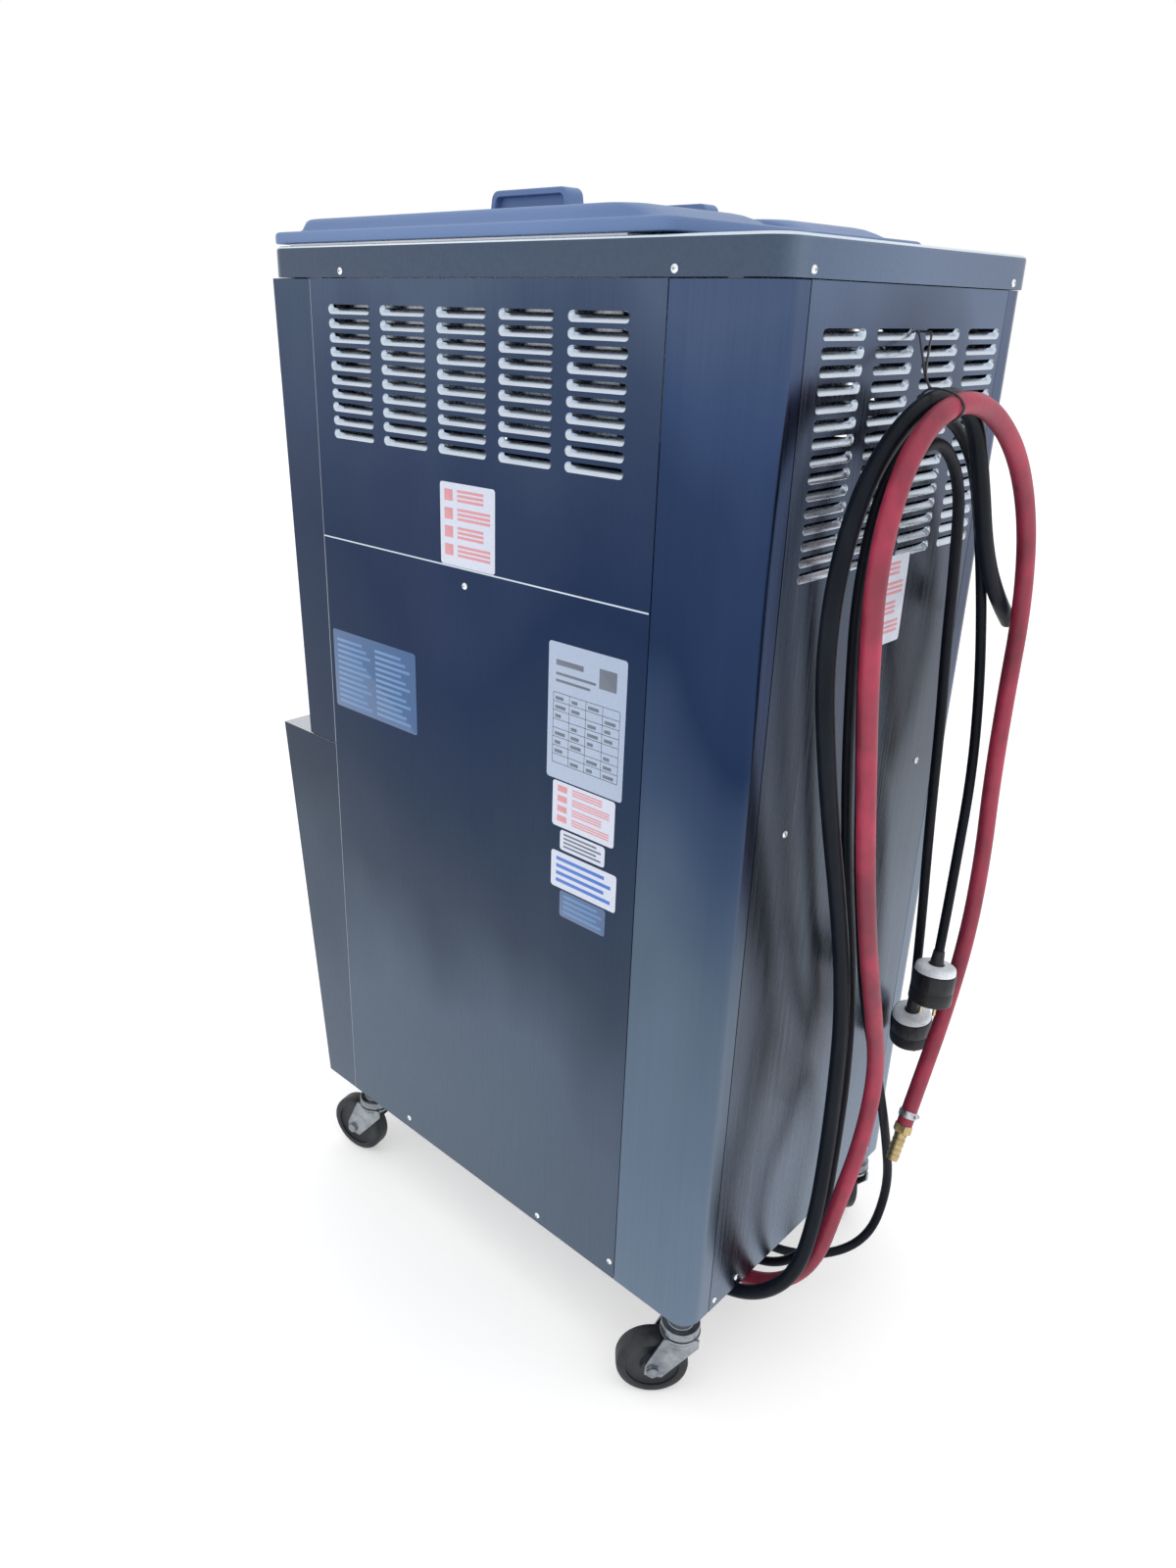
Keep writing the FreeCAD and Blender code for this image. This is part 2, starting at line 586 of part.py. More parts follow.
def refrigeration():
    """Hermetic compressor and a coaxial water-cooled condenser coil."""
    shell = rod("compressor_shell", ("-120", "rear_y-260", "200"), "85", "190")
    dome = doc.addObject("Part::Ellipsoid", "compressor_dome")
    dome.Radius1 = 45
    dome.Radius2 = 85
    place(dome, "-120", "rear_y-260", "390")
    feet = block("compressor_feet", ("-200", "rear_y-340", "190"), ("160", "160", "12"))
    keep(fuse("compressor_all", [shell, dome, feet]), "compressor")
    turns = [block("coil_stand", ("10", "rear_y-255", "190"), ("200", "30", "60")),
             block("coil_tie", ("20", "rear_y-245", "190"), ("10", "10", "150")),
             block("coil_tie", ("190", "rear_y-245", "190"), ("10", "10", "150"))]
    for level in (262, 288, 314):
        ring = doc.addObject("Part::Torus", "coil_turn")
        ring.Radius1 = 85
        ring.Radius2 = 13.5
        turns.append(place(ring, "110", "rear_y-240", str(level)))
    keep(fuse("coil", turns), "condenser_coil")


def control_box():
    """Steel case for the relays and the logic board."""
    case = body("relay_case")
    solid_box(case, "Additive", ("-236", "rear_y-95", "560"), ("180", "60", "260"))
    round_edges(case, upright, "4")
    keep(case, "control_box")


# ---------------------------------------------------------------- serving side

def freezer_door():
    """Closes the barrels' mouths: a block with three valve bores, spouts and handle ears."""
    slab = block("door_slab", ("-door_half", "rear_y-door_front", "door_low"),
                 ("2*door_half", "door_front-tube_front-1", "door_tall"))
    adds = [slab]
    tools = []
    for x in ("-axis_side", "0", "axis_side"):
        adds.append(rod("spout", (x, "rear_y-valve_y", "spout_low"), "spout_round", "door_low-spout_low+5"))
        tools.append(rod("valve_hole", (x, "rear_y-valve_y", "spout_low-1"), "valve_bore", "300"))
    for x in (-136, -52, 42, 126):
        adds.append(block("ear", (str(x), "rear_y-pivot_y-9", "door_low+door_tall-20"),
                          ("ear_wide", "30", "pivot_level+10-door_low-door_tall+20")))
    tools.append(rod("pin_hole", ("-150", "rear_y-pivot_y", "pivot_level"), "pin_round+0.03", "300", "x"))
    for x in ("-stud_side", "stud_side"):
        for z in ("stud_low", "stud_high"):
            tools.append(rod("stud_hole", (x, "rear_y-door_front-1", z), "stud_round+0.2", "200", "y"))
    keep(cut("door_cut", fuse("door_all", adds), tools), "freezer_door")
    keep(rod("pin", ("-138", "rear_y-pivot_y", "pivot_level"), "pin_round", "276", "x"),
         "handle_pivot_pin")


def door_hand_screws():
    """Four long studs with knurled hand nuts that clamp the door."""
    screws = []
    for x in ("-stud_side", "stud_side"):
        for z in ("stud_low", "stud_high"):
            stud = rod("stud", (x, "rear_y-door_front-20", z), "stud_round", "90", "y")
            nut = rod("hand_nut", (x, "rear_y-door_front-24", z), "nut_round", "nut_long", "y")
            screws.append(fuse("hand_screw", [stud, nut]))
    keep(group("hand_screws", screws), "door_hand_screws")


def design_caps():
    """Star-mouthed caps pushed over the three spouts."""
    caps = []
    for x in ("-axis_side", "0", "axis_side"):
        shell = rod("cap_shell", (x, "rear_y-valve_y", "spout_low-12"), "spout_round+3", "cap_long")
        socket = rod("cap_socket", (x, "rear_y-valve_y", "spout_low-0.3"), "spout_round+0.2", "cap_long+1")
        mouth = rod("cap_mouth", (x, "rear_y-valve_y", "spout_low-13"), "mouth_round", "20")
        caps.append(cut("cap_cut", shell, [socket, mouth]))
    keep(group("caps", caps), "design_caps")


def draw_valves_and_handles():
    """Three plungers, each lifted by the fork of its own draw handle."""
    for label, x in (("left", "-axis_side"), ("centre", "0"), ("right", "axis_side")):
        plunger = rod("plunger", (x, "rear_y-valve_y", "spout_low+4"), "valve_round", "228")
        waist = rod("waist", (x, "rear_y-valve_y", "pivot_level-12"), "waist_round", "28")
        head = rod("valve_head", (x, "rear_y-valve_y", "pivot_level+12"), "head_round", "8")
        keep(fuse("valve_" + label, [plunger, waist, head]), "draw_valve_" + label)
        hub = rod("hub", (x + "-handle_wide/2", "rear_y-pivot_y", "pivot_level"), "hub_round", "handle_wide", "x")
        arm = block("arm", (x + "-9", "rear_y-front_reach+4", "pivot_level-5"),
                    ("18", "front_reach-pivot_y", "10"))
        grip = block("paddle", (x + "-handle_wide/2", "rear_y-front_reach", "pivot_level-7"),
                     ("handle_wide", "26", "14"))
        prongs = [
            block("prong", (x + "+8", "rear_y-pivot_y", "pivot_level-2.5"), ("6", "48", "6")),
            block("prong", (x + "-14", "rear_y-pivot_y", "pivot_level-2.5"), ("6", "48", "6"))]
        bore = rod("hub_bore", (x + "-30", "rear_y-pivot_y", "pivot_level"), "pin_round+0.08", "60", "x")
        lever = cut("lever_" + label, fuse("lever_all_" + label, [hub, arm, grip] + prongs), [bore])
        keep(lever, "draw_handle_" + label)


def drip_tray():
    """Open tray that stands on the shelf under the spouts."""
    tray = body("tray")
    solid_box(tray, "Additive", ("-tray_half", "rear_y-tray_front", "shelf_level+0.5"),
              ("2*tray_half", "tray_front-tray_back", "tray_tall"))
    solid_box(tray, "Subtractive",
              ("-tray_half+2.5", "rear_y-tray_front+2.5", "shelf_level+3"),
              ("2*tray_half-5", "tray_front-tray_back-5", "tray_tall"))
    outer = mm("tray_half")
    round_edges(tray, lambda e: upright(e, x=[outer - 2.5, 2.5 - outer]), "11.5")
    round_edges(tray, lambda e: upright(e, x=[outer, -outer]), "14")
    keep(tray, "drip_tray")


def drip_pan():
    """Long narrow pan that slides out of the front shell."""
    pan = body("pan")
    solid_box(pan, "Additive", ("-pan_half", "rear_y-upper_front_top-6", "pan_low"),
              ("2*pan_half", "pan_long", "pan_tall"))
    solid_box(pan, "Subtractive", ("-pan_half+2", "rear_y-upper_front_top", "pan_low+2"),
              ("2*pan_half-4", "pan_long-10", "pan_tall"))
    keep(pan, "drip_pan")


def control_panel():
    """Bezel above the door with a display window, a rocker and a push button."""
    bezel = body("bezel")
    solid_box(bezel, "Additive", ("-bezel_half", "rear_y-bezel_back-bezel_thick", "bezel_low"),
              ("2*bezel_half", "bezel_thick", "bezel_tall"))
    front = "rear_y-bezel_back-bezel_thick-1"
    for corner, extent in (
            (("-46", front, "1340"), ("92", "4", "30")),
            (("109", front, "1289"), ("22", "bezel_thick+2", "22")),
            (("-131", front, "1291"), ("22", "bezel_thick+2", "18"))):
        solid_box(bezel, "Subtractive", corner, extent)
    keep(bezel, "control_panel")
    keep(block("lens", ("-45.5", "rear_y-bezel_back-bezel_thick+1", "1340.5"), ("91", "2", "29")),
         "display_lens")
    rocker = block("rocker", ("110", "rear_y-bezel_back-bezel_thick-4", "1291.5"), ("20", "8", "17"))
    stubs = rod("rocker_stubs", ("109.4", "rear_y-bezel_back-bezel_thick", "1300"), "3", "21.2", "x")
    keep(fuse("rocker_all", [rocker, stubs]), "power_switch")
    keep(block("push", ("-129.5", "rear_y-bezel_back-bezel_thick-3", "1292.5"), ("19", "8", "15")),
         "select_button")


# ---------------------------------------------------------------- casters

def caster_spots():
    """Name, stem position and the turn of the trail about the stem, for each caster."""
    rear, front = behind(mm("stem_rear")), behind(mm("stem_front"))
    side = mm("stem_side")
    return [
        ("rear_right", Vector(side, rear, 0), mm("trail_turn_rear")),
        ("rear_left", Vector(-side, rear, 0), -mm("trail_turn_rear")),
        ("front_right", Vector(side, front, 0), mm("trail_turn_front")),
        ("front_left", Vector(-side, front, 0), -mm("trail_turn_front"))]


def fork_master():
    """Pressed fork, kingpin and axle, with the wheel trailing towards -Y."""
    leg = body("fork_leg")
    side = outline(leg, "YZ_Plane", [
        ("24", "fork_top"), ("24", "fork_top-14"), ("-trail+13", "wheel_round-12"),
        ("-trail-11", "wheel_round-8"), ("-trail-11", "wheel_round+8"), ("-24", "fork_top")],
        offset="fork_gap")
    pad(leg, side, "fork_plate", middle=False)
    crown = rod("crown", ("0", "0", "fork_top-3.5"), "fork_gap+fork_plate+6", "3.5")
    pin = rod("kingpin_rod", ("0", "0", "fork_top-2"), "kingpin-0.08", "30")
    axle = rod("axle", ("-fork_gap-fork_plate-4", "-trail", "wheel_round"), "axle_round",
               "2*(fork_gap+fork_plate+4)", "x")
    heads = [rod("axle_head", (start, "-trail", "wheel_round"), "8", "4", "x")
             for start in ("fork_gap+fork_plate", "-fork_gap-fork_plate-4")]
    return fuse("fork_whole", [leg, mirrored(leg), crown, pin, axle] + heads)


def wheel_master():
    """Wheel turned about X, with rounded shoulders and a raised hub."""
    wheel = body("wheel_turning")
    half, edge = "wheel_wide/2", "6"
    points = [
        ("-17.5", "axle_round+0.08"), ("17.5", "axle_round+0.08"), ("17.5", "14"), ("9", "16"),
        ("9", "34"), (half, "37"), (half, "wheel_round-" + edge), (half + "-3", "wheel_round-2"),
        (half + "-6", "wheel_round"), ("-" + half + "+6", "wheel_round"),
        ("-" + half + "+3", "wheel_round-2"), ("-" + half, "wheel_round-" + edge),
        ("-" + half, "37"), ("-9", "34"), ("-9", "16"), ("-17.5", "14")]
    turned(wheel, outline(wheel, "XZ_Plane", points), "X_Axis")
    return wheel


def casters():
    """Four swivel casters: stem with bearing cup, fork and wheel."""
    fork, wheel = fork_master(), wheel_master()
    doc.recompute()
    stems = []
    for name, spot, turn in caster_spots():
        swing = FreeCAD.Placement(spot, FreeCAD.Rotation(Vector(0, 0, 1), turn))
        x, y = str(spot.x), str(spot.y)
        cup = rod("cup", (x, y, "fork_top+0.5"), "27", "13")
        collar = rod("collar", (x, y, "fork_top+13"), "17", "clearance+2-fork_top-13")
        bore = rod("stem_bore", (x, y, "fork_top"), "kingpin", "32")
        stems.append(cut("stem_" + name, fuse("stem_all_" + name, [cup, collar]), [bore]))
        yoke = doc.addObject("Part::Feature", "yoke_" + name)
        yoke.Shape = fork.Shape
        yoke.Placement = swing
        keep(yoke, "caster_fork_" + name)
        roller = doc.addObject("Part::Feature", "roller_" + name)
        roller.Shape = wheel.Shape
        hub = Vector(0, -mm("trail"), mm("wheel_round"))
        roller.Placement = swing.multiply(FreeCAD.Placement(hub, FreeCAD.Rotation()))
        keep(roller, "caster_wheel_" + name)
    keep(group("stems", stems), "caster_stems")


# ---------------------------------------------------------------- hoses and cords

def route_points(route):
    """A route's points in the machine's frame."""
    return [Vector(x, mm("rear_y") + y, z) for x, y, z in route]


def smooth_wire(points, label, diameter):
    """Straight runs joined by tangent arcs as large as the shorter run allows."""
    edges, radii = [], []
    start = points[0]
    for before, here, after in zip(points, points[1:], points[2:]):
        back, on = before - here, after - here
        reach = 0.45 * min(back.Length, on.Length)
        back.normalize()
        on.normalize()
        half_turn = (math.pi - back.getAngle(on)) / 2
        radius = reach / math.tan(half_turn)
        radii.append(radius)
        first, last = here + back * reach, here + on * reach
        inward = back + on
        inward.normalize()
        middle = here + inward * (radius / math.cos(half_turn) - radius)
        edges += [Part.LineSegment(start, first).toShape(), Part.Arc(first, middle, last).toShape()]
        start = last
    edges.append(Part.LineSegment(start, points[-1]).toShape())
    print(f"{label}: tightest bend {min(radii) / diameter:.1f} diameters")
    return Part.Wire(edges)


def cord_tube(label, route, diameter):
    """A hose or cord as a plain tube along its route."""
    points = route_points(route)
    wire = smooth_wire(points, label, diameter)
    ring = Part.Wire(Part.makeCircle(diameter / 2, points[0], points[1] - points[0]))
    shape = wire.makePipeShell([ring], True, False)
    ratio = shape.Volume / (wire.Length * math.pi * diameter ** 2 / 4)
    print(f"{label}: length {wire.Length:.0f}, volume against section times length {ratio:.4f}")
    item = doc.addObject("Part::Feature", label + "_tube")
    item.Shape = shape
    keep(item, label)


def along_end(route):
    """Where a route ends, and the direction it ends in."""
    points = route_points(route)
    direction = points[-1] - points[-2]
    return points[-1], direction.normalize()


def free_cords():
    """Water hoses and mains cords, from the glands to their far ends."""
    cord_tube("red_water_hose", RED_ROUTE, mm("red_hose"))
    cord_tube("black_drain_hose", BLACK_ROUTE, mm("black_hose"))
    cord_tube("mains_cord_left", LEFT_CORD_ROUTE, mm("mains_cord"))
    cord_tube("mains_cord_right", RIGHT_CORD_ROUTE, mm("mains_cord"))


def plugs():
    """A round two-part plug with two blades and an earth pin on each mains cord."""
    for label, route in (("mains_plug_left", LEFT_CORD_ROUTE), ("mains_plug_right", RIGHT_CORD_ROUTE)):
        end, down = along_end(route)
        across = down.cross(Vector(0, 1, 0)).normalize()
        case = Part.makeCylinder(mm("plug_round"), mm("plug_long"), end, down)
        shape = case
        for shift, radius in ((9, 3), (-9, 3)):
            start = end + down * (mm("plug_long") - 1) + across * shift
            shape = shape.fuse(Part.makeCylinder(radius, 20, start, down))
        item = doc.addObject("Part::Feature", label + "_shape")
        item.Shape = shape
        keep(item, label)


def hose_fitting():
    """Band clamp round the red hose's end, and the brass tail that it holds."""
    end, down = along_end(RED_ROUTE)
    hose = mm("red_hose") / 2
    ring = Part.makeCylinder(hose + 1.5, 12, end - down * 18, down)
    ring = ring.cut(Part.makeCylinder(hose + 0.05, 14, end - down * 19, down))
    screw = Part.makeCylinder(4, 16, end - down * 12 + Vector(-8, hose + 5, 0), Vector(1, 0, 0))
    ring = ring.fuse(screw)
    collar = Part.makeCylinder(hose + 2, 12, end, down)
    tail = Part.makeCylinder(9, 42, end + down * 11, down)
    item = doc.addObject("Part::Feature", "fitting_shape")
    item.Shape = Part.makeCompound([ring, collar.fuse(tail)])
    keep(item, "hose_fitting")


def hose_hanger_wire():
    """Bent wire from the top louvres that holds the bundle's top."""
    y = mm("rear_y")
    points = [Vector(4, y + 2.5, 1372), Vector(28, y + 24, 1352), Vector(56, y + 44, 1332),
              Vector(70, y + 60, 1321.5), Vector(70, y + 80, 1319.5)]
    wire = Part.makePolygon(points)
    ring = Part.Wire(Part.makeCircle(1.2, points[0], points[1] - points[0]))
    item = doc.addObject("Part::Feature", "hanger")
    item.Shape = wire.makePipeShell([ring], True, False, 1)
    keep(item, "hose_hanger_wire")


def cord_glands():
    """Bracket under the chassis with a gland for each hose and cord."""
    face = "rear_y-gland_face"
    plate = block("gland_plate", ("10", face + "-15", "100"), ("165", "3", "87"))
    pieces = [plate]
    for route, diameter in ((RED_ROUTE, "red_hose"), (BLACK_ROUTE, "black_hose"),
                            (LEFT_CORD_ROUTE, "mains_cord"), (RIGHT_CORD_ROUTE, "mains_cord")):
        x, _, z = route[0]
        pieces.append(rod("gland", (str(x), face + "-13", str(z)), diameter + "/2+4", "13", "y"))
    keep(fuse("glands", pieces), "cord_glands")


# ---------------------------------------------------------------- build and write

def build():
    base_frame()
    frame_uprights()
    top_cover()
    side_panels()
    corner_panels()
    rear_panel()
    front_shell()
    front_lower_panel()
    panel_screws()
    label_plates()
    hoppers()
    hopper_cover()
    freezing_cylinders()
    beaters()
    gear_units()
    pulleys_and_belts()
    beater_motor()
    refrigeration()
    control_box()
    freezer_door()
    door_hand_screws()
    design_caps()
    draw_valves_and_handles()
    drip_tray()
    drip_pan()
    control_panel()
    casters()
    free_cords()
    plugs()
    hose_fitting()
    hose_hanger_wire()
    cord_glands()
    doc.recompute()


def check_and_write():
    """Stop on any failed object or bad shape, then write one file for each sub-part."""
    for item in doc.Objects:
        if {"Invalid", "Error"} & set(item.State):
            raise RuntimeError(f"{item.Label} is {item.State}")
    for item in nodes:
        if item.Shape.isNull() or not item.Shape.isValid():
            raise RuntimeError(f"{item.Label} has no valid shape")
    os.makedirs("parts", exist_ok=True)
    for item in nodes:
        item.Shape.exportStep(f"parts/{item.Label}.step")
    print(len(nodes), "sub-parts written")


build()
check_and_write()
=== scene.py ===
"""Soft serve machine: the looks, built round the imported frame.

Lengths are in metres, except in the tables that say millimetres.
"""

import json
import math

import bmesh
import bpy
from mathutils import Matrix, Vector

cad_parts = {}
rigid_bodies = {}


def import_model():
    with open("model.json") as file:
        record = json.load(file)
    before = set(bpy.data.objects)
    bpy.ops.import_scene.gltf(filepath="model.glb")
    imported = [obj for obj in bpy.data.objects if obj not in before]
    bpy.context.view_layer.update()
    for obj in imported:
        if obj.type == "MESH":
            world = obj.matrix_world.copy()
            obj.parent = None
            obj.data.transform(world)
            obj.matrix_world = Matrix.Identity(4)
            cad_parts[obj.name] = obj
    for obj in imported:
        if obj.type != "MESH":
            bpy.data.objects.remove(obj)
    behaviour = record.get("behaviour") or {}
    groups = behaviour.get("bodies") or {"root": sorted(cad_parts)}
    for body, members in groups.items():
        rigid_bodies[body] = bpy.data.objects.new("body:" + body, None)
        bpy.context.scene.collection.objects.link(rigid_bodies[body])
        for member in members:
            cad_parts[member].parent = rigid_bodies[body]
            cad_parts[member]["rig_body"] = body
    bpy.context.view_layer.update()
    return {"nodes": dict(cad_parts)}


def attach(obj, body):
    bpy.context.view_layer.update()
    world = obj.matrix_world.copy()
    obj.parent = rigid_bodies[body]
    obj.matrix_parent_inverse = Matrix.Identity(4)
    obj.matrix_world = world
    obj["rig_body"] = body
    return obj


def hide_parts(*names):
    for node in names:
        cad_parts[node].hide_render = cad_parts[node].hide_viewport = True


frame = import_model()
nodes = frame["nodes"]

# Places in the machine's frame: +Z up, -Y the serving side, +Y the louvred back.
REAR = 0.4575
HALF_WIDE = 0.260
CAP_LOW = 1.417
SPLIT = 1.090
FLOOR_GAP = 0.150
SEAM_FRONT = REAR - 0.710
SEAM_REAR = REAR - 0.126
REAR_HALF = 0.211
SEAM = 0.001


# ---------------------------------------------------------------- camera, lights, floor

def place_camera():
    """Camera behind the machine's right-hand corner, looking slightly down."""
    azimuth, elevation, roll = (math.radians(a) for a in (133.51, 22.76, 1.21))
    back = Vector((math.sin(azimuth) * math.cos(elevation),
                   -math.cos(azimuth) * math.cos(elevation), math.sin(elevation)))
    right = Vector((math.cos(azimuth), math.sin(azimuth), 0))
    up = back.cross(right)
    across = math.cos(roll) * right + math.sin(roll) * up
    upward = math.cos(roll) * up - math.sin(roll) * right
    data = bpy.data.cameras.new("camera")
    data.sensor_width = 36
    data.lens = 25.84
    data.shift_x = 0.0249
    data.shift_y = -0.0036
    data.clip_end = 60
    camera = bpy.data.objects.new("camera", data)
    camera.matrix_world = Matrix.Translation((1.17821, 1.0599, 1.38916)) @ Matrix(
        (across, upward, back)).transposed().to_4x4()
    bpy.context.scene.collection.objects.link(camera)
    bpy.context.scene.camera = camera


def area_light(name, place, target, size, watts, colour=(1, 1, 1)):
    """A soft rectangular light that points at a target."""
    data = bpy.data.lights.new(name, "AREA")
    data.shape = "RECTANGLE"
    data.size, data.size_y = size
    data.energy = watts
    data.color = colour
    lamp = bpy.data.objects.new(name, data)
    aim = Vector(target) - Vector(place)
    turn = aim.to_track_quat("-Z", "Y").to_matrix().to_4x4()
    lamp.matrix_world = Matrix.Translation(place) @ turn
    lamp.visible_glossy = False
    bpy.context.scene.collection.objects.link(lamp)


def light_the_set():
    """Pale world, a large overhead softbox and two side softboxes."""
    world = bpy.data.worlds.new("studio")
    world.use_nodes = True
    background = world.node_tree.nodes["Background"].inputs
    background["Color"].default_value = (1.0, 1.0, 1.0, 1)
    background["Strength"].default_value = 1.0
    bpy.context.scene.world = world
    area_light("overhead", (0.6, 0.8, 4.0), (0, 0, 0.8), (3.0, 3.0), 12)
    area_light("left_side", (3.4, -1.4, 2.2), (0, 0, 0.8), (2.0, 2.6), 10, (0.92, 0.96, 1.0))
    area_light("right_side", (-1.6, 3.4, 2.4), (0, 0.2, 0.8), (2.0, 2.6), 10, (1.0, 0.98, 0.95))
    view = bpy.context.scene.view_settings
    view.view_transform = "Standard"
    view.look = "None"


def lay_floor():
    """Wide pale floor; it isn't part of the machine."""
    bpy.ops.mesh.primitive_plane_add(size=40)
    floor = bpy.context.object
    floor.name = "floor"
    paint = surface("floor_paint", (0.80, 0.80, 0.80), roughness=0.85, spread=0.02,
                    grain=3, grain_mix=0.02)
    shader = paint.node_tree.nodes["Principled BSDF"].inputs
    shader["Emission Color"].default_value = (1, 1, 1, 1)
    shader["Emission Strength"].default_value = 0.35
    floor.data.materials.append(paint)


# ---------------------------------------------------------------- materials

RAMP_REACH = 1.5
WANDER_UP, WANDER_ACROSS = 0.16, 0.003


def surface(name, colour, other=None, metallic=0.0, roughness=0.5, spread=0.08,
            grain=40, grain_mix=0.25, bump=0.0, bump_grain=None, blotch=4.0,
            stops=None, across=False, coat=0.0, specular=0.5):
    """Procedural finish: two colours in soft blotches, a grain, uneven gloss and a bump.

    grain and bump_grain are how fine the noise is, as one number or as one for each axis.
    stops is a list of (distance in metres, colour) for painted reflection and shade: the base
    colour then follows height, or with across the distance from the machine's middle plane.
    """
    name = "looks_" + name
    found = bpy.data.materials.get(name)
    if found:
        return found
    made = bpy.data.materials.new(name)
    made.use_nodes = True
    tree = made.node_tree
    link = tree.links.new
    shader = tree.nodes["Principled BSDF"]
    shader.inputs["Metallic"].default_value = metallic
    shader.inputs["Coat Weight"].default_value = coat
    shader.inputs["Specular IOR Level"].default_value = specular
    where = tree.nodes.new("ShaderNodeTexCoord").outputs["Object"]

    def noise(scale, size, detail=3.0):
        stretch = tree.nodes.new("ShaderNodeMapping")
        stretch.inputs["Scale"].default_value = scale if isinstance(scale, tuple) else [scale] * 3
        link(where, stretch.inputs["Vector"])
        node = tree.nodes.new("ShaderNodeTexNoise")
        node.inputs["Scale"].default_value = size
        node.inputs["Detail"].default_value = detail
        link(stretch.outputs["Vector"], node.inputs["Vector"])
        return node.outputs["Fac"]

    def mixed(kind, factor, one, two):
        node = tree.nodes.new("ShaderNodeMix")
        node.data_type = "RGBA"
        node.blend_type = kind
        for label, sort, value in (("Factor", "VALUE", factor), ("A", "RGBA", one),
                                   ("B", "RGBA", two)):
            target = next(s for s in node.inputs if s.name == label and s.type == sort)
            if isinstance(value, bpy.types.NodeSocket):
                link(value, target)
            elif isinstance(value, tuple):
                target.default_value = (*value[:3], 1)
            else:
                target.default_value = value
        return next(s for s in node.outputs if s.type == "RGBA")

    def ranged(value, low, high, start=0.0, end=1.0):
        node = tree.nodes.new("ShaderNodeMapRange")
        for socket, number in (("From Min", start), ("From Max", end), ("To Min", low),
                               ("To Max", high)):
            node.inputs[socket].default_value = number
        link(value, node.inputs["Value"])
        return node.outputs["Result"]

    base = colour
    # The stops paint reflection and shade into the base colour by place.
    if stops:
        split = tree.nodes.new("ShaderNodeSeparateXYZ")
        link(where, split.inputs["Vector"])
        reach = WANDER_ACROSS if across else WANDER_UP
        wander = ranged(noise((1, 1, 0.6), 2.2), -reach, reach, 0.3, 0.7)
        size = tree.nodes.new("ShaderNodeMath")
        size.operation = "ABSOLUTE"
        link(split.outputs["X" if across else "Z"], size.inputs[0])
        add = tree.nodes.new("ShaderNodeMath")
        link(size.outputs["Value"], add.inputs[0])
        link(wander, add.inputs[1])
        ramp = tree.nodes.new("ShaderNodeValToRGB")
        link(ranged(add.outputs["Value"], 0, 1, 0, RAMP_REACH), ramp.inputs["Fac"])
        elements = ramp.color_ramp.elements
        while len(elements) < len(stops):
            elements.new(0.5)
        for element, (distance, hue) in zip(elements, stops):
            element.position = distance / RAMP_REACH
            element.color = (*hue, 1)
        base = ramp.outputs["Color"]
    if other:
        base = mixed("MIX", ranged(noise(1, blotch, 4.0), 0, 1, 0.35, 0.65), base, other)
    fine = noise(grain, 1.0, 5.0)
    shade = ranged(fine, 1 - grain_mix, 1 + grain_mix, 0.25, 0.75)
    grey = tree.nodes.new("ShaderNodeCombineColor")
    for channel in ("Red", "Green", "Blue"):
        link(shade, grey.inputs[channel])
    link(mixed("MULTIPLY", 1.0, base, grey.outputs["Color"]), shader.inputs["Base Color"])
    rough = ranged(fine, max(0.02, roughness - spread), min(1, roughness + spread), 0.25, 0.75)
    link(rough, shader.inputs["Roughness"])
    if bump:
        node = tree.nodes.new("ShaderNodeBump")
        node.inputs["Distance"].default_value = bump
        link(noise(bump_grain or grain, 1.0, 2.0), node.inputs["Height"])
        link(node.outputs["Normal"], shader.inputs["Normal"])
    return made


def tone(red, green, blue):
    """Linear colour of a screen colour."""
    return tuple((c / 255 / 12.92) if c <= 10 else ((c / 255 + 0.055) / 1.055) ** 2.4
                 for c in (red, green, blue))


# Base colours by height for the steel sheets, a painted reflection: dark blue bands high up and
# lighter towards the floor.
SIDE_PAINTED_REFLECTION = [(0.12, tone(88, 102, 118)), (0.42, tone(84, 97, 114)), (0.62, tone(56, 67, 84)),
              (0.80, tone(40, 54, 76)), (1.00, tone(32, 47, 77)), (1.15, tone(44, 57, 86)),
              (1.30, tone(58, 72, 98)), (1.44, tone(80, 94, 118))]
FRONT_PAINTED_REFLECTION = [(0.12, tone(90, 102, 118)), (0.42, tone(78, 90, 106)), (0.72, tone(50, 60, 76)),
               (1.00, tone(40, 54, 80)), (1.20, tone(52, 66, 92)), (1.44, tone(70, 86, 110))]
REAR_PAINTED_REFLECTION = [(0.12, tone(106, 122, 142)), (0.42, tone(94, 108, 128)), (0.62, tone(76, 88, 104)),
              (0.80, tone(62, 72, 86)), (1.00, tone(58, 68, 84)), (1.20, tone(58, 70, 92)),
              (1.32, tone(68, 80, 104)), (1.44, tone(92, 108, 136))]
UPRIGHT_GRAIN = (260, 260, 5)


def steel_side():
    """Brushed steel of the side sheets, with a painted reflection in its base colour: dark blue
    bands high up, lighter low down.
    """
    return surface("steel_side", (0.05, 0.07, 0.1), metallic=1.0, roughness=0.30, spread=0.07,
                   grain=UPRIGHT_GRAIN, grain_mix=0.03, stops=SIDE_PAINTED_REFLECTION)


def steel_rear():
    """Brushed steel of the back panel, with a painted reflection in its base colour that changes
    with height.
    """
    return surface("steel_rear", (0.08, 0.09, 0.11), metallic=1.0, roughness=0.26, spread=0.08,
                   grain=UPRIGHT_GRAIN, grain_mix=0.04, stops=REAR_PAINTED_REFLECTION)


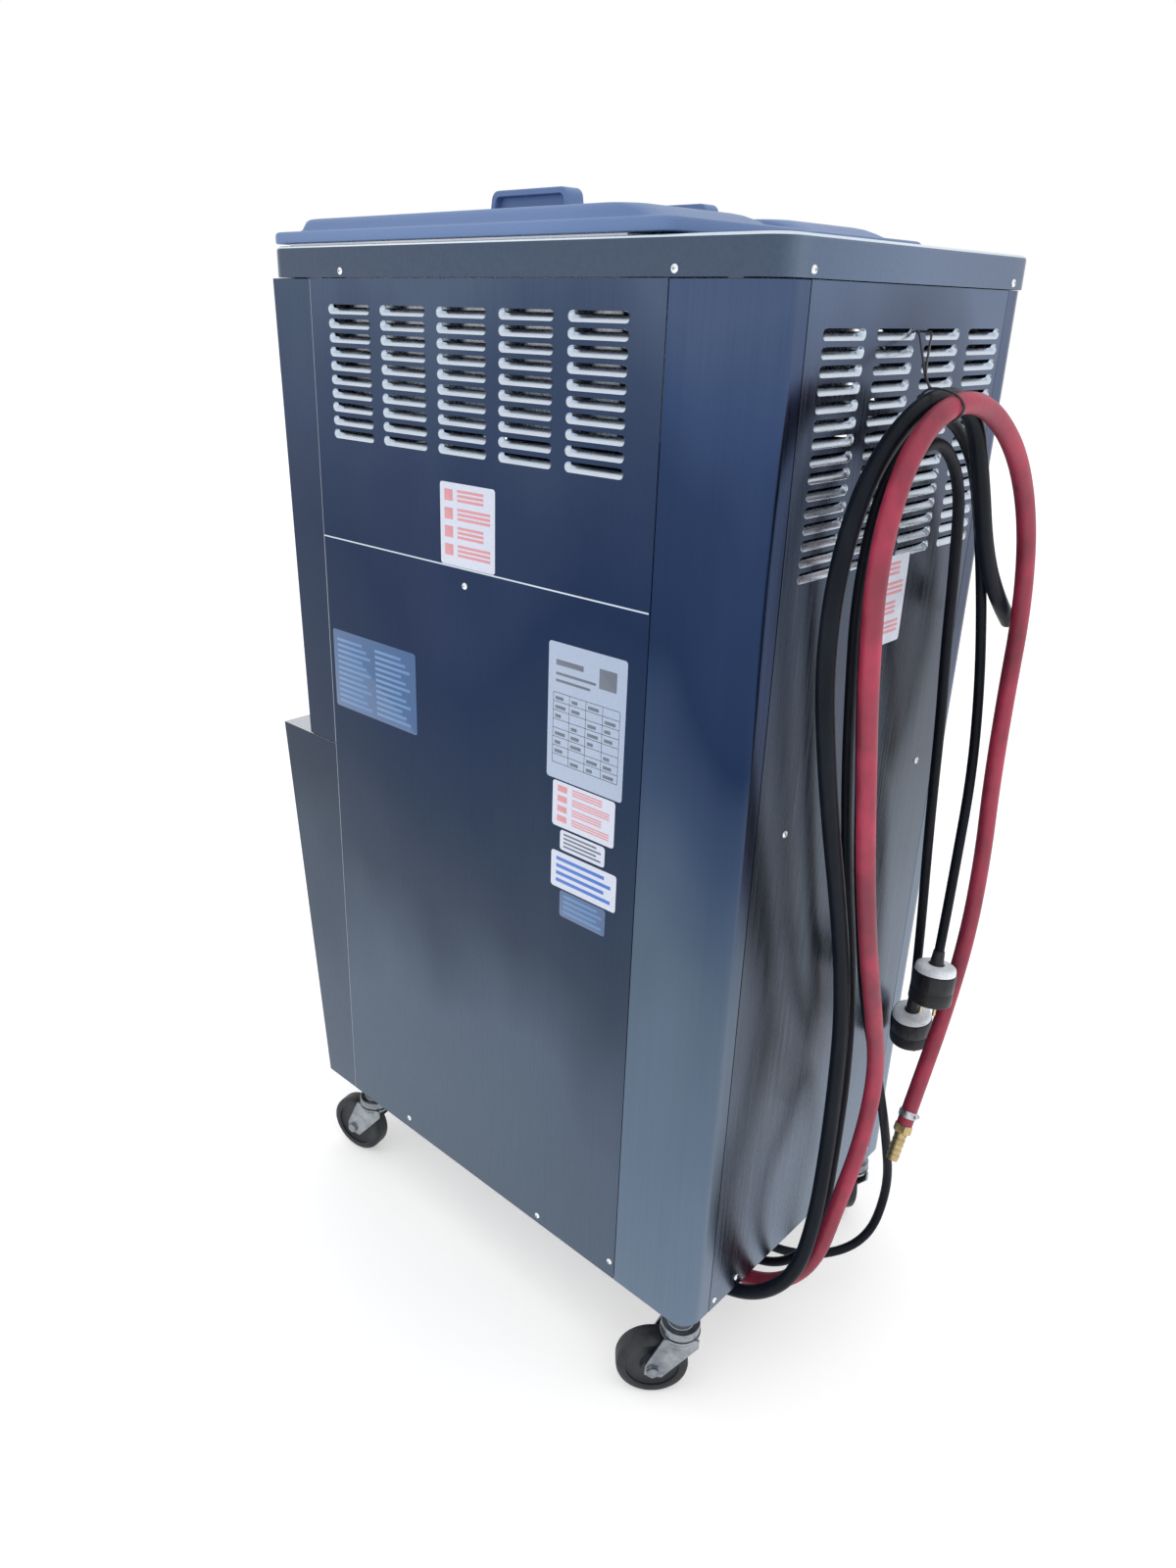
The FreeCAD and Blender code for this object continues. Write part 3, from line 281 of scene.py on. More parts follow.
def steel_painted_highlight():
    """Steel with a painted highlight for the louvre ramps and the lips: its pale base colour stands
    in for the light they catch.
    """
    return surface("steel_painted_highlight", (0.60, 0.67, 0.76), metallic=1.0, roughness=0.26, spread=0.08,
                   grain=(30, 30, 220), grain_mix=0.06)


# ---------------------------------------------------------------- mesh helpers

def link_object(name, mesh):
    """A new object for a mesh, linked to the scene."""
    made = bpy.data.objects.new(name, mesh)
    bpy.context.scene.collection.objects.link(made)
    return made


def piece(name, mesh, body, materials, replaces=()):
    """A finished visible piece that rides on a body."""
    made = link_object(name, mesh)
    for item in materials:
        mesh.materials.append(item)
    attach(made, body)
    if replaces:
        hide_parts(*replaces)
    return made


def mesh_from(bm, name, angle=35, keep_sides=False):
    """Turns a bmesh into a mesh with smooth faces and sharp edges over an angle."""
    bmesh.ops.remove_doubles(bm, verts=bm.verts, dist=1e-6)
    if not keep_sides:
        bmesh.ops.recalc_face_normals(bm, faces=bm.faces)
    mesh = bpy.data.meshes.new(name)
    bm.to_mesh(mesh)
    bm.free()
    mesh.shade_smooth()
    mesh.set_sharp_from_angle(angle=math.radians(angle))
    return mesh


def with_modifier(mesh, kind, **settings):
    """The mesh that one modifier makes of this mesh."""
    holder = link_object("holder", mesh)
    modifier = holder.modifiers.new("change", kind)
    for key, value in settings.items():
        setattr(modifier, key, value)
    graph = bpy.context.evaluated_depsgraph_get()
    result = bpy.data.meshes.new_from_object(holder.evaluated_get(graph))
    bpy.data.objects.remove(holder)
    return result


def soften(node, slot, *materials, width=0.0008, segments=2, angle=30, choose=None,
           pierced=False):
    """A CAD node's shape with its sharp edges rounded, in place of the node.

    choose gives the material's number for a face, from its outward direction. A pierced shape
    keeps its triangles, as one face can't go round a hole.
    """
    bm = bmesh.new()
    bm.from_mesh(nodes[node].data)
    bmesh.ops.remove_doubles(bm, verts=bm.verts, dist=1e-6)
    if not pierced:
        bmesh.ops.dissolve_limit(bm, angle_limit=math.radians(0.5), verts=bm.verts, edges=bm.edges)
    mesh = bpy.data.meshes.new(node + "_rounded")
    bm.to_mesh(mesh)
    bm.free()
    mesh.materials.clear()
    mesh = with_modifier(mesh, "BEVEL", width=width, segments=segments, limit_method="ANGLE",
                         angle_limit=math.radians(angle), miter_outer="MITER_ARC")
    mesh.shade_smooth()
    mesh.set_sharp_from_angle(angle=math.radians(38))
    mesh = with_modifier(mesh, "WEIGHTED_NORMAL", keep_sharp=True, weight=100)
    made = piece(node + "_skin", mesh, nodes[node]["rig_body"], materials, [node])
    if choose:
        for face in mesh.polygons:
            face.material_index = choose(face.normal)
    return made


def dress(names, material):
    """Gives CAD nodes that stay a detailed material."""
    for name in names:
        slots = nodes[name].data.materials
        slots.clear()
        slots.append(material)


def rounded_ring(x0, x1, y0, y1, radius, z, steps=7):
    """Points round a rectangle with round corners at one height."""
    ring = []
    for cx, cy, start in ((x1 - radius, y1 - radius, 0), (x0 + radius, y1 - radius, 90),
                          (x0 + radius, y0 + radius, 180), (x1 - radius, y0 + radius, 270)):
        for step in range(steps):
            angle = math.radians(start + 90 * step / (steps - 1))
            ring.append(Vector((cx + radius * math.cos(angle), cy + radius * math.sin(angle), z)))
    return ring


def loft(bm, rings, close_start=True, close_end=True, index=0):
    """Skins rings of equal size one to the next."""
    rows = [[bm.verts.new(point) for point in ring] for ring in rings]
    count = len(rows[0])
    for low, high in zip(rows, rows[1:]):
        for i in range(count):
            j = (i + 1) % count
            bm.faces.new((low[i], low[j], high[j], high[i])).material_index = index
    if close_start:
        bm.faces.new(list(reversed(rows[0]))).material_index = index
    if close_end:
        bm.faces.new(rows[-1]).material_index = index
    return rows


def circle(at, radius, level, count):
    """Points evenly round the matrix's Z axis."""
    angles = [2 * math.pi * i / count for i in range(count)]
    return [at @ Vector((radius * math.cos(a), radius * math.sin(a), level)) for a in angles]


def spun(bm, profile, at, segments=48, index=0, capped=True):
    """A profile of (distance along, radius) turned about the matrix's Z axis."""
    loft(bm, [circle(at, radius, level, segments) for level, radius in profile],
         capped, capped, index)


def along(start, direction):
    """A matrix whose Z axis runs along a direction from a start."""
    turn = Vector(direction).to_track_quat("Z", "Y").to_matrix().to_4x4()
    return Matrix.Translation(start) @ turn


def bar(bm, low, high, round_by=0.0006, index=0, turn=None):
    """A block with rounded edges between two corners."""
    low, high = Vector(low), Vector(high)
    made = bmesh.ops.create_cube(bm, size=1.0)
    verts = made["verts"]
    size, middle = high - low, (low + high) / 2
    for vert in verts:
        vert.co = Vector(c * s for c, s in zip(vert.co, size)) + middle
    edges = list(dict.fromkeys(edge for vert in verts for edge in vert.link_edges))
    result = bmesh.ops.bevel(bm, geom=edges, offset=round_by, segments=2, affect="EDGES",
                             profile=0.5)
    faces = list(dict.fromkeys(f for vert in result["verts"] for f in vert.link_faces))
    if turn:
        bmesh.ops.transform(bm, matrix=turn,
                            verts=list(dict.fromkeys(v for f in faces for v in f.verts)))
    for face in faces:
        face.material_index = index


# ---------------------------------------------------------------- pressed louvres

LOUVRE_TALL = 0.0113
LOUVRE_GAP = 0.0030
LOUVRE_DEEP = 0.0055
LOUVRE_END = 0.009
SHEET = 0.0010


def louvre_depth(u, length, share):
    """How far a louvre is pressed in, by place along it and by share of its ramp's rise."""
    reach = min(1.0, min(u, length - u) / LOUVRE_END)
    return LOUVRE_DEEP * math.sqrt(max(0.0, 1 - (1 - reach) ** 2)) * share


def add_louvre(bm, point, left, right, low, high):
    """One inward-pressed louvre: a ramp from its lower edge, round closed ends, an open top."""
    length, tall = right - left, high - low
    ends = [LOUVRE_END * s for s in (0, 0.05, 0.14, 0.28, 0.5, 0.75, 1)]
    across = ends + [length - e for e in reversed(ends)]
    ramp = tall - LOUVRE_GAP
    rows = [(ramp * s, share) for s, share in
            ((0, 0), (0.06, 0.02), (0.2, 0.12), (0.4, 0.34), (0.6, 0.58), (0.8, 0.82), (1, 1))]
    rows += [(ramp + LOUVRE_GAP * s, share) for s, share in ((0.45, 0.9), (0.8, 0.6), (1.0, 0.1))]
    grid, edges = [], []
    for v, share in rows:
        inset = tall / 2 - math.sqrt(max(0, (tall / 2) ** 2 - (v - tall / 2) ** 2))
        squeeze = (length / 2 - inset) / (length / 2)
        row = [length / 2 + (u - length / 2) * squeeze for u in across]
        grid.append([bm.verts.new(point(left + u, low + v, -louvre_depth(base, length, share)))
                     for u, base in zip(row, across)])
        edges.append([bm.verts.new(point(u, low + v, 0)) for u in (left, right)])
    ramp_rows, cheek = len(rows) - 4, 4
    last = len(across) - 1
    for k in range(len(rows) - 1):
        low_row, high_row = grid[k], grid[k + 1]
        for i in range(last):
            if k < ramp_rows or i < cheek or i >= last - cheek:
                bm.faces.new((low_row[i], low_row[i + 1], high_row[i + 1], high_row[i])
                             ).material_index = 1
        bm.faces.new((edges[k][0], low_row[0], high_row[0], edges[k + 1][0]))
        bm.faces.new((low_row[-1], edges[k][1], edges[k + 1][1], high_row[-1]))


def louvred_panel(node, sheets, low, high, tops, materials):
    """A node's sheets with rows and columns of pressed louvres.

    Each sheet is (point, left, right, columns): point(u, v, n) puts a place on the sheet, n out
    of its face, in the machine's frame.
    """
    bm = bmesh.new()
    levels = sorted((top - LOUVRE_TALL, top) for top in tops)
    heights = sorted({low, high, *(c for level in levels for c in level)})
    for point, left, right, columns in sheets:
        widths = sorted({left, right, *(c for column in columns for c in column)})
        for u0, u1 in zip(widths, widths[1:]):
            for v0, v1 in zip(heights, heights[1:]):
                if (u0, u1) in columns and (v0, v1) in levels:
                    add_louvre(bm, point, u0, u1, v0, v1)
                else:
                    corners = [point(u, v, 0) for u, v in ((u0, v0), (u1, v0), (u1, v1), (u0, v1))]
                    bm.faces.new([bm.verts.new(c) for c in corners])
    mesh = mesh_from(bm, node, angle=25, keep_sides=True)
    mesh = with_modifier(mesh, "SOLIDIFY", thickness=SHEET, offset=-1, use_even_offset=False)
    for face in mesh.polygons:
        face.use_smooth = face.material_index == 1
    piece(node + "_pressed", mesh, "cabinet", materials, [node])


def build_louvred_panels():
    """Both upper side panels and the back panel."""
    # The louvre ramps take steel with a painted highlight.
    ramp = steel_painted_highlight()
    columns = [(REAR - 0.672 + 0.104 * i, REAR - 0.588 + 0.104 * i) for i in range(5)]
    right = (lambda u, v, n: Vector((HALF_WIDE + n, u, v)),
             SEAM_FRONT + SEAM, SEAM_REAR - SEAM, columns)
    left = (lambda u, v, n: Vector((-HALF_WIDE - n, -u, v)),
            SEAM - SEAM_REAR, -SEAM - SEAM_FRONT, [(-end, -start) for start, end in columns])
    louvred_panel("side_panels_upper", [right, left], SPLIT + SEAM, CAP_LOW - SEAM,
                  [1.386 - 0.0168 * k for k in range(10)], [steel_side(), ramp])
    columns = [(0.123 - 0.102 * i, 0.203 - 0.102 * i) for i in range(4)]
    back = (lambda u, v, n: Vector((-u, REAR + n, v)), -REAR_HALF, REAR_HALF, columns)
    louvred_panel("rear_panel", [back], FLOOR_GAP, CAP_LOW - SEAM,
                  [1.375 - 0.0166 * k for k in range(15)], [steel_rear(), ramp])


# ---------------------------------------------------------------- hopper covers

COVER_BASE, GRIP_TOP = 1.4574, 1.5141
GRIP_FOOT = COVER_BASE + 0.0297


def build_covers():
    """Two moulded covers: a rim tier, a raised tier that falls away behind, and a grip."""
    plastic = surface("cover_plastic", tone(106, 130, 172), tone(94, 118, 160),
                      roughness=0.42, spread=0.06, specular=0.2, grain=500, grain_mix=0.05,
                      blotch=3.0, bump=0.00003, bump_grain=900)
    front, rear = REAR - 0.804, REAR - 0.130
    tiers = [  # height over the base, inset at the sides, in front, behind, corner radius
        (0.0000, 0.0016, 0.0016, 0.0016, 0.016), (0.0010, 0.0002, 0.0002, 0.0002, 0.0175),
        (0.0030, 0.0000, 0.0000, 0.0000, 0.018), (0.0095, 0.0000, 0.0000, 0.0004, 0.018),
        (0.0122, 0.0008, 0.0008, 0.0020, 0.018), (0.0137, 0.0028, 0.0028, 0.0054, 0.017),
        (0.0141, 0.0060, 0.0060, 0.0100, 0.016), (0.0142, 0.0150, 0.0200, 0.0220, 0.016),
        (0.0148, 0.0190, 0.0270, 0.0300, 0.018), (0.0170, 0.0212, 0.0300, 0.0380, 0.020),
        (0.0220, 0.0226, 0.0316, 0.0500, 0.022), (0.0265, 0.0240, 0.0330, 0.0640, 0.024),
        (0.0288, 0.0262, 0.0352, 0.0760, 0.026), (0.0297, 0.0300, 0.0392, 0.0880, 0.026),
        (0.0299, 0.0380, 0.0480, 0.1020, 0.026)]
    for side, hand in (("right", 1), ("left", -1)):
        bm = bmesh.new()
        near, far = sorted((hand * 0.008, hand * 0.252))
        loft(bm, [rounded_ring(near + s, far - s, front + f, rear - b, r, COVER_BASE + z)
                  for z, s, f, b, r in tiers])
        add_grip(bm, hand * 0.130, REAR - 0.498, REAR - 0.367, GRIP_FOOT)
        name = "hopper_cover_" + side
        piece(name + "_moulded", mesh_from(bm, name, 30), name, [plastic], [name])


def add_grip(bm, x, start, end, base):
    """A grip like a low bridge, its web recessed on both faces."""
    def outline(inset, x_at):
        low, high = start + inset, end - inset
        crown, radius = GRIP_TOP - inset, max(0.004, 0.011 - inset * 0.6)
        points = [Vector((x_at, low, base - 0.001))]
        for cy, first in ((low + 0.003 + radius, 180), (high - 0.003 - radius, 90)):
            for step in range(7):
                angle = math.radians(first - 90 * step / 6)
                points.append(Vector((x_at, cy + radius * math.cos(angle),
                                      crown - radius + radius * math.sin(angle))))
        points.append(Vector((x_at, high, base - 0.001)))
        return points

    web = [(0.0075, 0.0045), (0.0070, 0.0125), (0.0062, 0.0135), (0.0012, 0.0135),
           (0.0003, 0.0128), (0, 0.0115)]
    loft(bm, [outline(inset, x + out) for inset, out in web]
         + [outline(inset, x - out) for inset, out in reversed(web)])
    foot = ((-0.0008, 0), (0.0010, 0), (0.0020, 0.0008), (0.0024, 0.0026))
    loft(bm, [rounded_ring(x - 0.0175 + s, x + 0.0175 - s, start - 0.006 + s, end + 0.006 - s,
                           0.006, base + z) for z, s in foot])


# ---------------------------------------------------------------- casters

# Half profiles of the tyre and of the wheel's disc: distance from the middle, radius.
TYRE = [(0.0060, 0.0500), (0.0098, 0.0497), (0.0125, 0.0485), (0.0143, 0.0460), (0.0150, 0.0430),
        (0.0150, 0.0385)]
DISC = [(0.0175, 0.0058), (0.0175, 0.0110), (0.0174, 0.0136), (0.0168, 0.0146), (0.0130, 0.0158),
        (0.0100, 0.0172), (0.0092, 0.0200), (0.0092, 0.0300), (0.0098, 0.0350), (0.0110, 0.0366),
        (0.0140, 0.0372), (0.0150, 0.0385)]
TRAIL, AXLE = -0.036, 0.050


def mirrored(half):
    """A half profile and its mirror image, from the far end to the near one."""
    return [(-z, r) for z, r in reversed(half)] + half


def caster_places():
    """Name, matrix of the swivel's axis and turn for each caster."""
    for name, x, y, turn in (("rear_right", 0.226, REAR - 0.033, 43),
                             ("rear_left", -0.226, REAR - 0.033, -43),
                             ("front_right", 0.226, REAR - 0.700, 12),
                             ("front_left", -0.226, REAR - 0.700, -12)):
        yield name, Matrix.Translation((x, y, 0)) @ Matrix.Rotation(math.radians(turn), 4, "Z")


def build_casters():
    """Pressed forks with a bearing band, and turned wheels with a tread, hub and bolt."""
    zinc = surface("caster_zinc", (0.36, 0.39, 0.42), (0.20, 0.22, 0.25), metallic=1.0,
                   roughness=0.36, spread=0.12, grain=180, grain_mix=0.2, blotch=30.0,
                   bump=0.0001)
    band = surface("bearing_grease", (0.045, 0.045, 0.05), (0.10, 0.09, 0.08), metallic=0.6,
                   roughness=0.42, grain=200, grain_mix=0.4, blotch=40.0)
    tread = surface("caster_tread", (0.010, 0.012, 0.017), (0.028, 0.030, 0.035),
                    roughness=0.5, specular=0.3, spread=0.15, grain=120, grain_mix=0.4,
                    blotch=18.0, bump=0.0002)
    hub = surface("caster_hub", (0.016, 0.018, 0.024), (0.03, 0.032, 0.038), roughness=0.4,
                  specular=0.3, grain=200, grain_mix=0.25, blotch=20.0)
    for name, swing in caster_places():
        fork = soften("caster_fork_" + name, "caster_zinc", zinc, width=0.0011)
        bm = bmesh.new()
        bm.from_mesh(fork.data)
        spun(bm, [(0.1010, 0.0250), (0.1015, 0.0262), (0.1040, 0.0268), (0.1055, 0.0262),
                  (0.1056, 0.0200)], swing, 40, 1)
        for reach in (-1, 1):
            bolt = swing @ Matrix.Translation((reach * 0.0262, TRAIL, AXLE)) @ Matrix.Rotation(
                reach * math.pi / 2, 4, "Y")
            spun(bm, [(-0.001, 0.0085), (0.0003, 0.0087), (0.0008, 0.0080), (0.0009, 0.0040)],
                 bolt, 6, 0)
        bm.to_mesh(fork.data)
        bm.free()
        fork.data.materials.append(band)
        axle = swing @ Matrix.Translation((0, TRAIL, AXLE)) @ Matrix.Rotation(math.pi / 2, 4, "Y")
        bm = bmesh.new()
        spun(bm, mirrored(TYRE), axle, 72, 0, capped=False)
        spun(bm, mirrored(DISC)[::-1], axle, 72, 1, capped=False)
        wheel = "caster_wheel_" + name
        piece(wheel + "_turned", mesh_from(bm, wheel, 30), wheel, [tread, hub],
              [wheel])
    stems = surface("caster_stem_zinc", (0.34, 0.37, 0.40), (0.20, 0.22, 0.25), metallic=1.0,
                    roughness=0.34, grain=160, grain_mix=0.2, blotch=25.0)
    soften("caster_stems", "caster_zinc", stems, width=0.0022, segments=3)


# ---------------------------------------------------------------- screws and labels

# Millimetres: behind the back face, or across, and above the floor.
SIDE_SCREWS = [(-419, 1069), (-565, 170), (-274, 164), (-135, 177)]
REAR_SCREWS = [(200, 164), (150, 167), (152, 840), (-160, 845), (-162, 173), (-200, 173)]
CAP_PROUD, CAP_SCREWS = 0.0025, 1.424


def build_screws():
    """Domed cross-head screws over the seams and along the cap."""
    bright = surface("screw_plate", (0.85, 0.88, 0.92), metallic=1.0, roughness=0.16,
                     grain=400, grain_mix=0.1)
    bm = bmesh.new()
    spots = []
    for hand in (1, -1):
        spots += [(Vector((hand * HALF_WIDE, REAR + y / 1000, z / 1000)), Vector((hand, 0, 0)))
                  for y, z in SIDE_SCREWS]
        spots += [(Vector((hand * (HALF_WIDE + CAP_PROUD), REAR + y, CAP_SCREWS)),
                   Vector((hand, 0, 0)))
                  for y in (-0.118, -0.640)]
        spots.append((Vector((hand * 0.214, REAR + CAP_PROUD, CAP_SCREWS)), Vector((0, 1, 0))))
    spots += [(Vector((x / 1000, REAR, z / 1000)), Vector((0, 1, 0))) for x, z in REAR_SCREWS]
    for place, out in spots:
        place_matrix = along(place, out)
        spun(bm, [(-0.0002, 0.0045), (0.0005, 0.0045), (0.0012, 0.0041), (0.0019, 0.0031),
                  (0.0023, 0.0018), (0.0024, 0.0006)], place_matrix, 24)
        for turn in (0, math.pi / 2):
            bar(bm, (-0.0020, -0.00035, 0.0019), (0.0020, 0.00035, 0.00245), 0.0001, 1,
                place_matrix @ Matrix.Rotation(turn, 4, "Z"))
    recess = surface("screw_recess", (0.05, 0.05, 0.06), metallic=0.5, roughness=0.6, grain_mix=0.2)
    piece("panel_screw_heads", mesh_from(bm, "screws", 40), "cabinet",
          [bright, recess], ["panel_screws"])


# Millimetres: start behind the back face, low edge, length, height; paper, ink, layout.
LABELS = [
    (-462, 1091.5, 97, 100, "white", "rose", "notice"),
    (-700, 845, 182, 115, "blue", "sky", "chart"),
    (-273, 862, 120, 170, "plate", "grey", "table"),
    (-262, 800, 100, 60, "white", "rose", "notice"),
    (-248, 770, 73, 27, "white", "grey", "band"),
    (-262, 716, 107, 50, "white", "cobalt", "band"),
    (-246, 677, 76, 37, "slate", "sky", "band")]


def label_marks(layout):
    """Printed fields of a blank form, as shares of the label: left, low, right, high."""
    if layout == "notice":
        blocks = [(0.08, 0.12 + 0.22 * k, 0.24, 0.26 + 0.22 * k) for k in range(4)]
        return blocks + [(0.32, low + 0.22 * k, 0.92 - 0.12 * (k % 2), low + 0.035 + 0.22 * k)
                         for k in range(4) for low in (0.12, 0.175, 0.23)]
    if layout == "chart":
        return [(0.05 + 0.47 * side, 0.07 + 0.072 * k, 0.46 + 0.47 * side - 0.05 * (k % 3),
                 0.105 + 0.072 * k) for side in (0, 1) for k in range(12)]
    if layout == "table":
        rules = [(0.07, 0.12 + 0.065 * k, 0.93, 0.124 + 0.065 * k) for k in range(9)]
        rules += [(0.07 + 0.215 * k, 0.12, 0.077 + 0.215 * k, 0.64) for k in range(5)]
        bars = [(0.10 + 0.215 * k, 0.135 + 0.065 * r, 0.24 + 0.215 * k - 0.03 * ((k + r) % 3),
                 0.160 + 0.065 * r) for k in range(4) for r in range(8) if (k * 3 + r) % 4]
        heads = [(0.10, 0.84, 0.46, 0.88), (0.10, 0.77, 0.62, 0.79), (0.10, 0.72, 0.55, 0.74),
                 (0.66, 0.76, 0.88, 0.90)]
        return rules + bars + heads
    return [(0.08, 0.16 + 0.2 * k, 0.92 - 0.1 * (k % 2), 0.26 + 0.2 * k) for k in range(4)]


def build_labels():
    """Film labels with rounded corners and plain printed blocks and rules, no lettering."""
    paints = {"white": tone(200, 206, 222), "plate": tone(160, 174, 198),
              "blue": tone(44, 84, 132), "slate": tone(72, 98, 138),
              "rose": tone(206, 140, 148), "sky": tone(84, 128, 178), "grey": tone(92, 100, 116),
              "cobalt": tone(60, 108, 190)}
    order = list(paints)
    finishes = [surface("label_" + key, value, roughness=0.34, spread=0.05, grain=300,
                        grain_mix=0.06, coat=0.3) for key, value in paints.items()]
    bm = bmesh.new()

    def stick(place, wide, tall, paper, ink, layout):
        """place(u, v, n) gives a point of the label's own plane."""
        def slab(u0, v0, u1, v1, n0, n1, radius, index):
            rings = [rounded_ring(u0 + s, u1 - s, v0 + s, v1 - s, radius, n, 5)
                     for n, s in ((n0, 0), (n1 - 0.0001, 0), (n1, 0.0002))]
            loft(bm, [[place(*point) for point in ring] for ring in rings], index=index)

        slab(0, 0, wide, tall, 0, 0.0005, 0.004, order.index(paper))
        for left, low, right, high in label_marks(layout):
            slab(left * wide, low * tall, right * wide, high * tall, 0.0004, 0.00058, 0.0004,
                 order.index(ink))

    for y, z, wide, tall, paper, ink, layout in LABELS:
        corner = Vector((HALF_WIDE, REAR + y / 1000, z / 1000))
        stick(lambda u, v, n, c=corner: c + Vector((n, u, v)), wide / 1000, tall / 1000,
              paper, ink, layout)
    stick(lambda u, v, n: Vector((0.040 - u, REAR + n, 1.030 + v)), 0.097, 0.105,
          "white", "rose", "notice")
    piece("label_films", mesh_from(bm, "labels", 40), "cabinet", finishes,
          ["label_plates"])


# ---------------------------------------------------------------- hoses and cords

# Millimetres: across, behind the back face, above the floor.
RED_ROUTE = [
    (106, -130, 126), (106, -70, 122), (102, -10, 120), (94, 43, 148), (78, 77, 202), (50, 82, 282),
    (14, 86, 368), (-4, 84, 472), (34, 84, 582), (76, 84, 692), (108, 82, 808), (136, 82, 928),
    (164, 82, 1052), (178, 82, 1180), (136, 84, 1288), (24, 84, 1318), (-96, 84, 1264),
    (-182, 80, 1172), (-222, 78, 1058), (-222, 78, 936), (-218, 82, 820), (-230, 84, 706),
    (-218, 88, 590), (-180, 90, 482), (-136, 90, 388), (-108, 90, 330)]
BLACK_ROUTE = [
    (140, -130, 126), (140, -72, 122), (136, -14, 120), (126, 37, 148), (110, 69, 200),
    (88, 72, 278), (66, 64, 366), (56, 58, 466), (60, 56, 566), (82, 56, 666), (112, 55, 762),
    (146, 54, 860), (178, 54, 958), (200, 52, 1058), (198, 52, 1162), (158, 54, 1256),
    (72, 60, 1316), (-28, 60, 1306), (-88, 56, 1222), (-136, 55, 1130), (-200, 54, 1064),
    (-246, 54, 1030)]
LEFT_ROUTE = [
    (38, -130, 126), (34, -66, 114), (-18, 14, 88), (-104, 66, 94), (-142, 70, 180),
    (-114, 64, 290), (-76, 60, 392), (-34, 56, 490), (8, 54, 590), (40, 54, 692), (66, 52, 796),
    (88, 52, 900), (108, 50, 1002), (124, 50, 1108), (114, 50, 1220), (38, 54, 1280),
    (-46, 52, 1228), (-84, 44, 1122), (-106, 40, 1018), (-127, 39, 915), (-146, 36, 814),
    (-166, 34, 710), (-184, 34, 602), (-196, 34, 510), (-204, 34, 450)]
RIGHT_ROUTE = [
    (72, -130, 126), (70, -68, 120), (60, -4, 120), (44, 40, 158), (20, 52, 226), (-10, 40, 318),
    (-26, 32, 424), (-18, 28, 538), (10, 28, 652), (42, 26, 764), (70, 26, 880), (90, 26, 998),
    (108, 28, 1120), (92, 32, 1236), (-2, 34, 1302), (-106, 32, 1252), (-168, 30, 1156),
    (-206, 34, 1048), (-220, 44, 936), (-208, 58, 826), (-182, 68, 716), (-160, 76, 624),
    (-152, 78, 570)]


def in_frame(route):
    """A route's points in the machine's frame, in metres."""
    return [Vector((x / 1000, REAR + y / 1000, z / 1000)) for x, y, z in route]


def cord(name, route, diameter, finish, replaces):
    """A free hose or cord as one smooth spline along its route."""
    points = in_frame(route)
    curve = bpy.data.curves.new(name, "CURVE")
    curve.dimensions = "3D"
    line = curve.splines.new("NURBS")
    line.points.add(len(points) - 1)
    for target, point in zip(line.points, points):
        target.co = (*point, 1)
    line.order_u = 3
    line.use_endpoint_u = True
    line.resolution_u = 10
    curve.bevel_depth = diameter / 2
    curve.bevel_resolution = 8
    curve.use_fill_caps = True
    curve.materials.append(finish)
    made = bpy.data.objects.new(name, curve)
    bpy.context.scene.collection.objects.link(made)
    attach(made, "cabinet")
    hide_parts(replaces)
    return made


def hang_cords():
    """Two water hoses and two mains cords, looped up behind the back."""
    red = surface("red_rubber", tone(164, 46, 74), tone(122, 36, 56), roughness=0.50,
                  spread=0.12, grain=(90, 90, 30), grain_mix=0.22, blotch=14.0, bump=0.0003)
    black = surface("black_hose_rubber", (0.003, 0.005, 0.009), (0.008, 0.011, 0.018),
                    roughness=0.36, spread=0.08, grain=(70, 70, 20), grain_mix=0.3, bump=0.0002,
                    specular=0.12)
    sheath = surface("cord_sheath", (0.003, 0.004, 0.008), (0.008, 0.010, 0.016),
                     roughness=0.40, spread=0.08, grain=(120, 120, 40), grain_mix=0.3, bump=0.0002,
                     specular=0.12)
    cord("red_water_hose_skin", RED_ROUTE, 0.022, red, "red_water_hose")
    cord("black_drain_hose_skin", BLACK_ROUTE, 0.020, black,
         "black_drain_hose")
    cord("mains_cord_left_skin", LEFT_ROUTE, 0.013, sheath,
         "mains_cord_left")
    cord("mains_cord_right_skin", RIGHT_ROUTE, 0.013, sheath,
         "mains_cord_right")


# ---------------------------------------------------------------- plugs, fitting, glands, wire

def end_frame(route):
    """A matrix at the route's last point with Z along the run of the cord."""
    points = in_frame(route)
    return along(points[-1], points[-1] - points[-2])


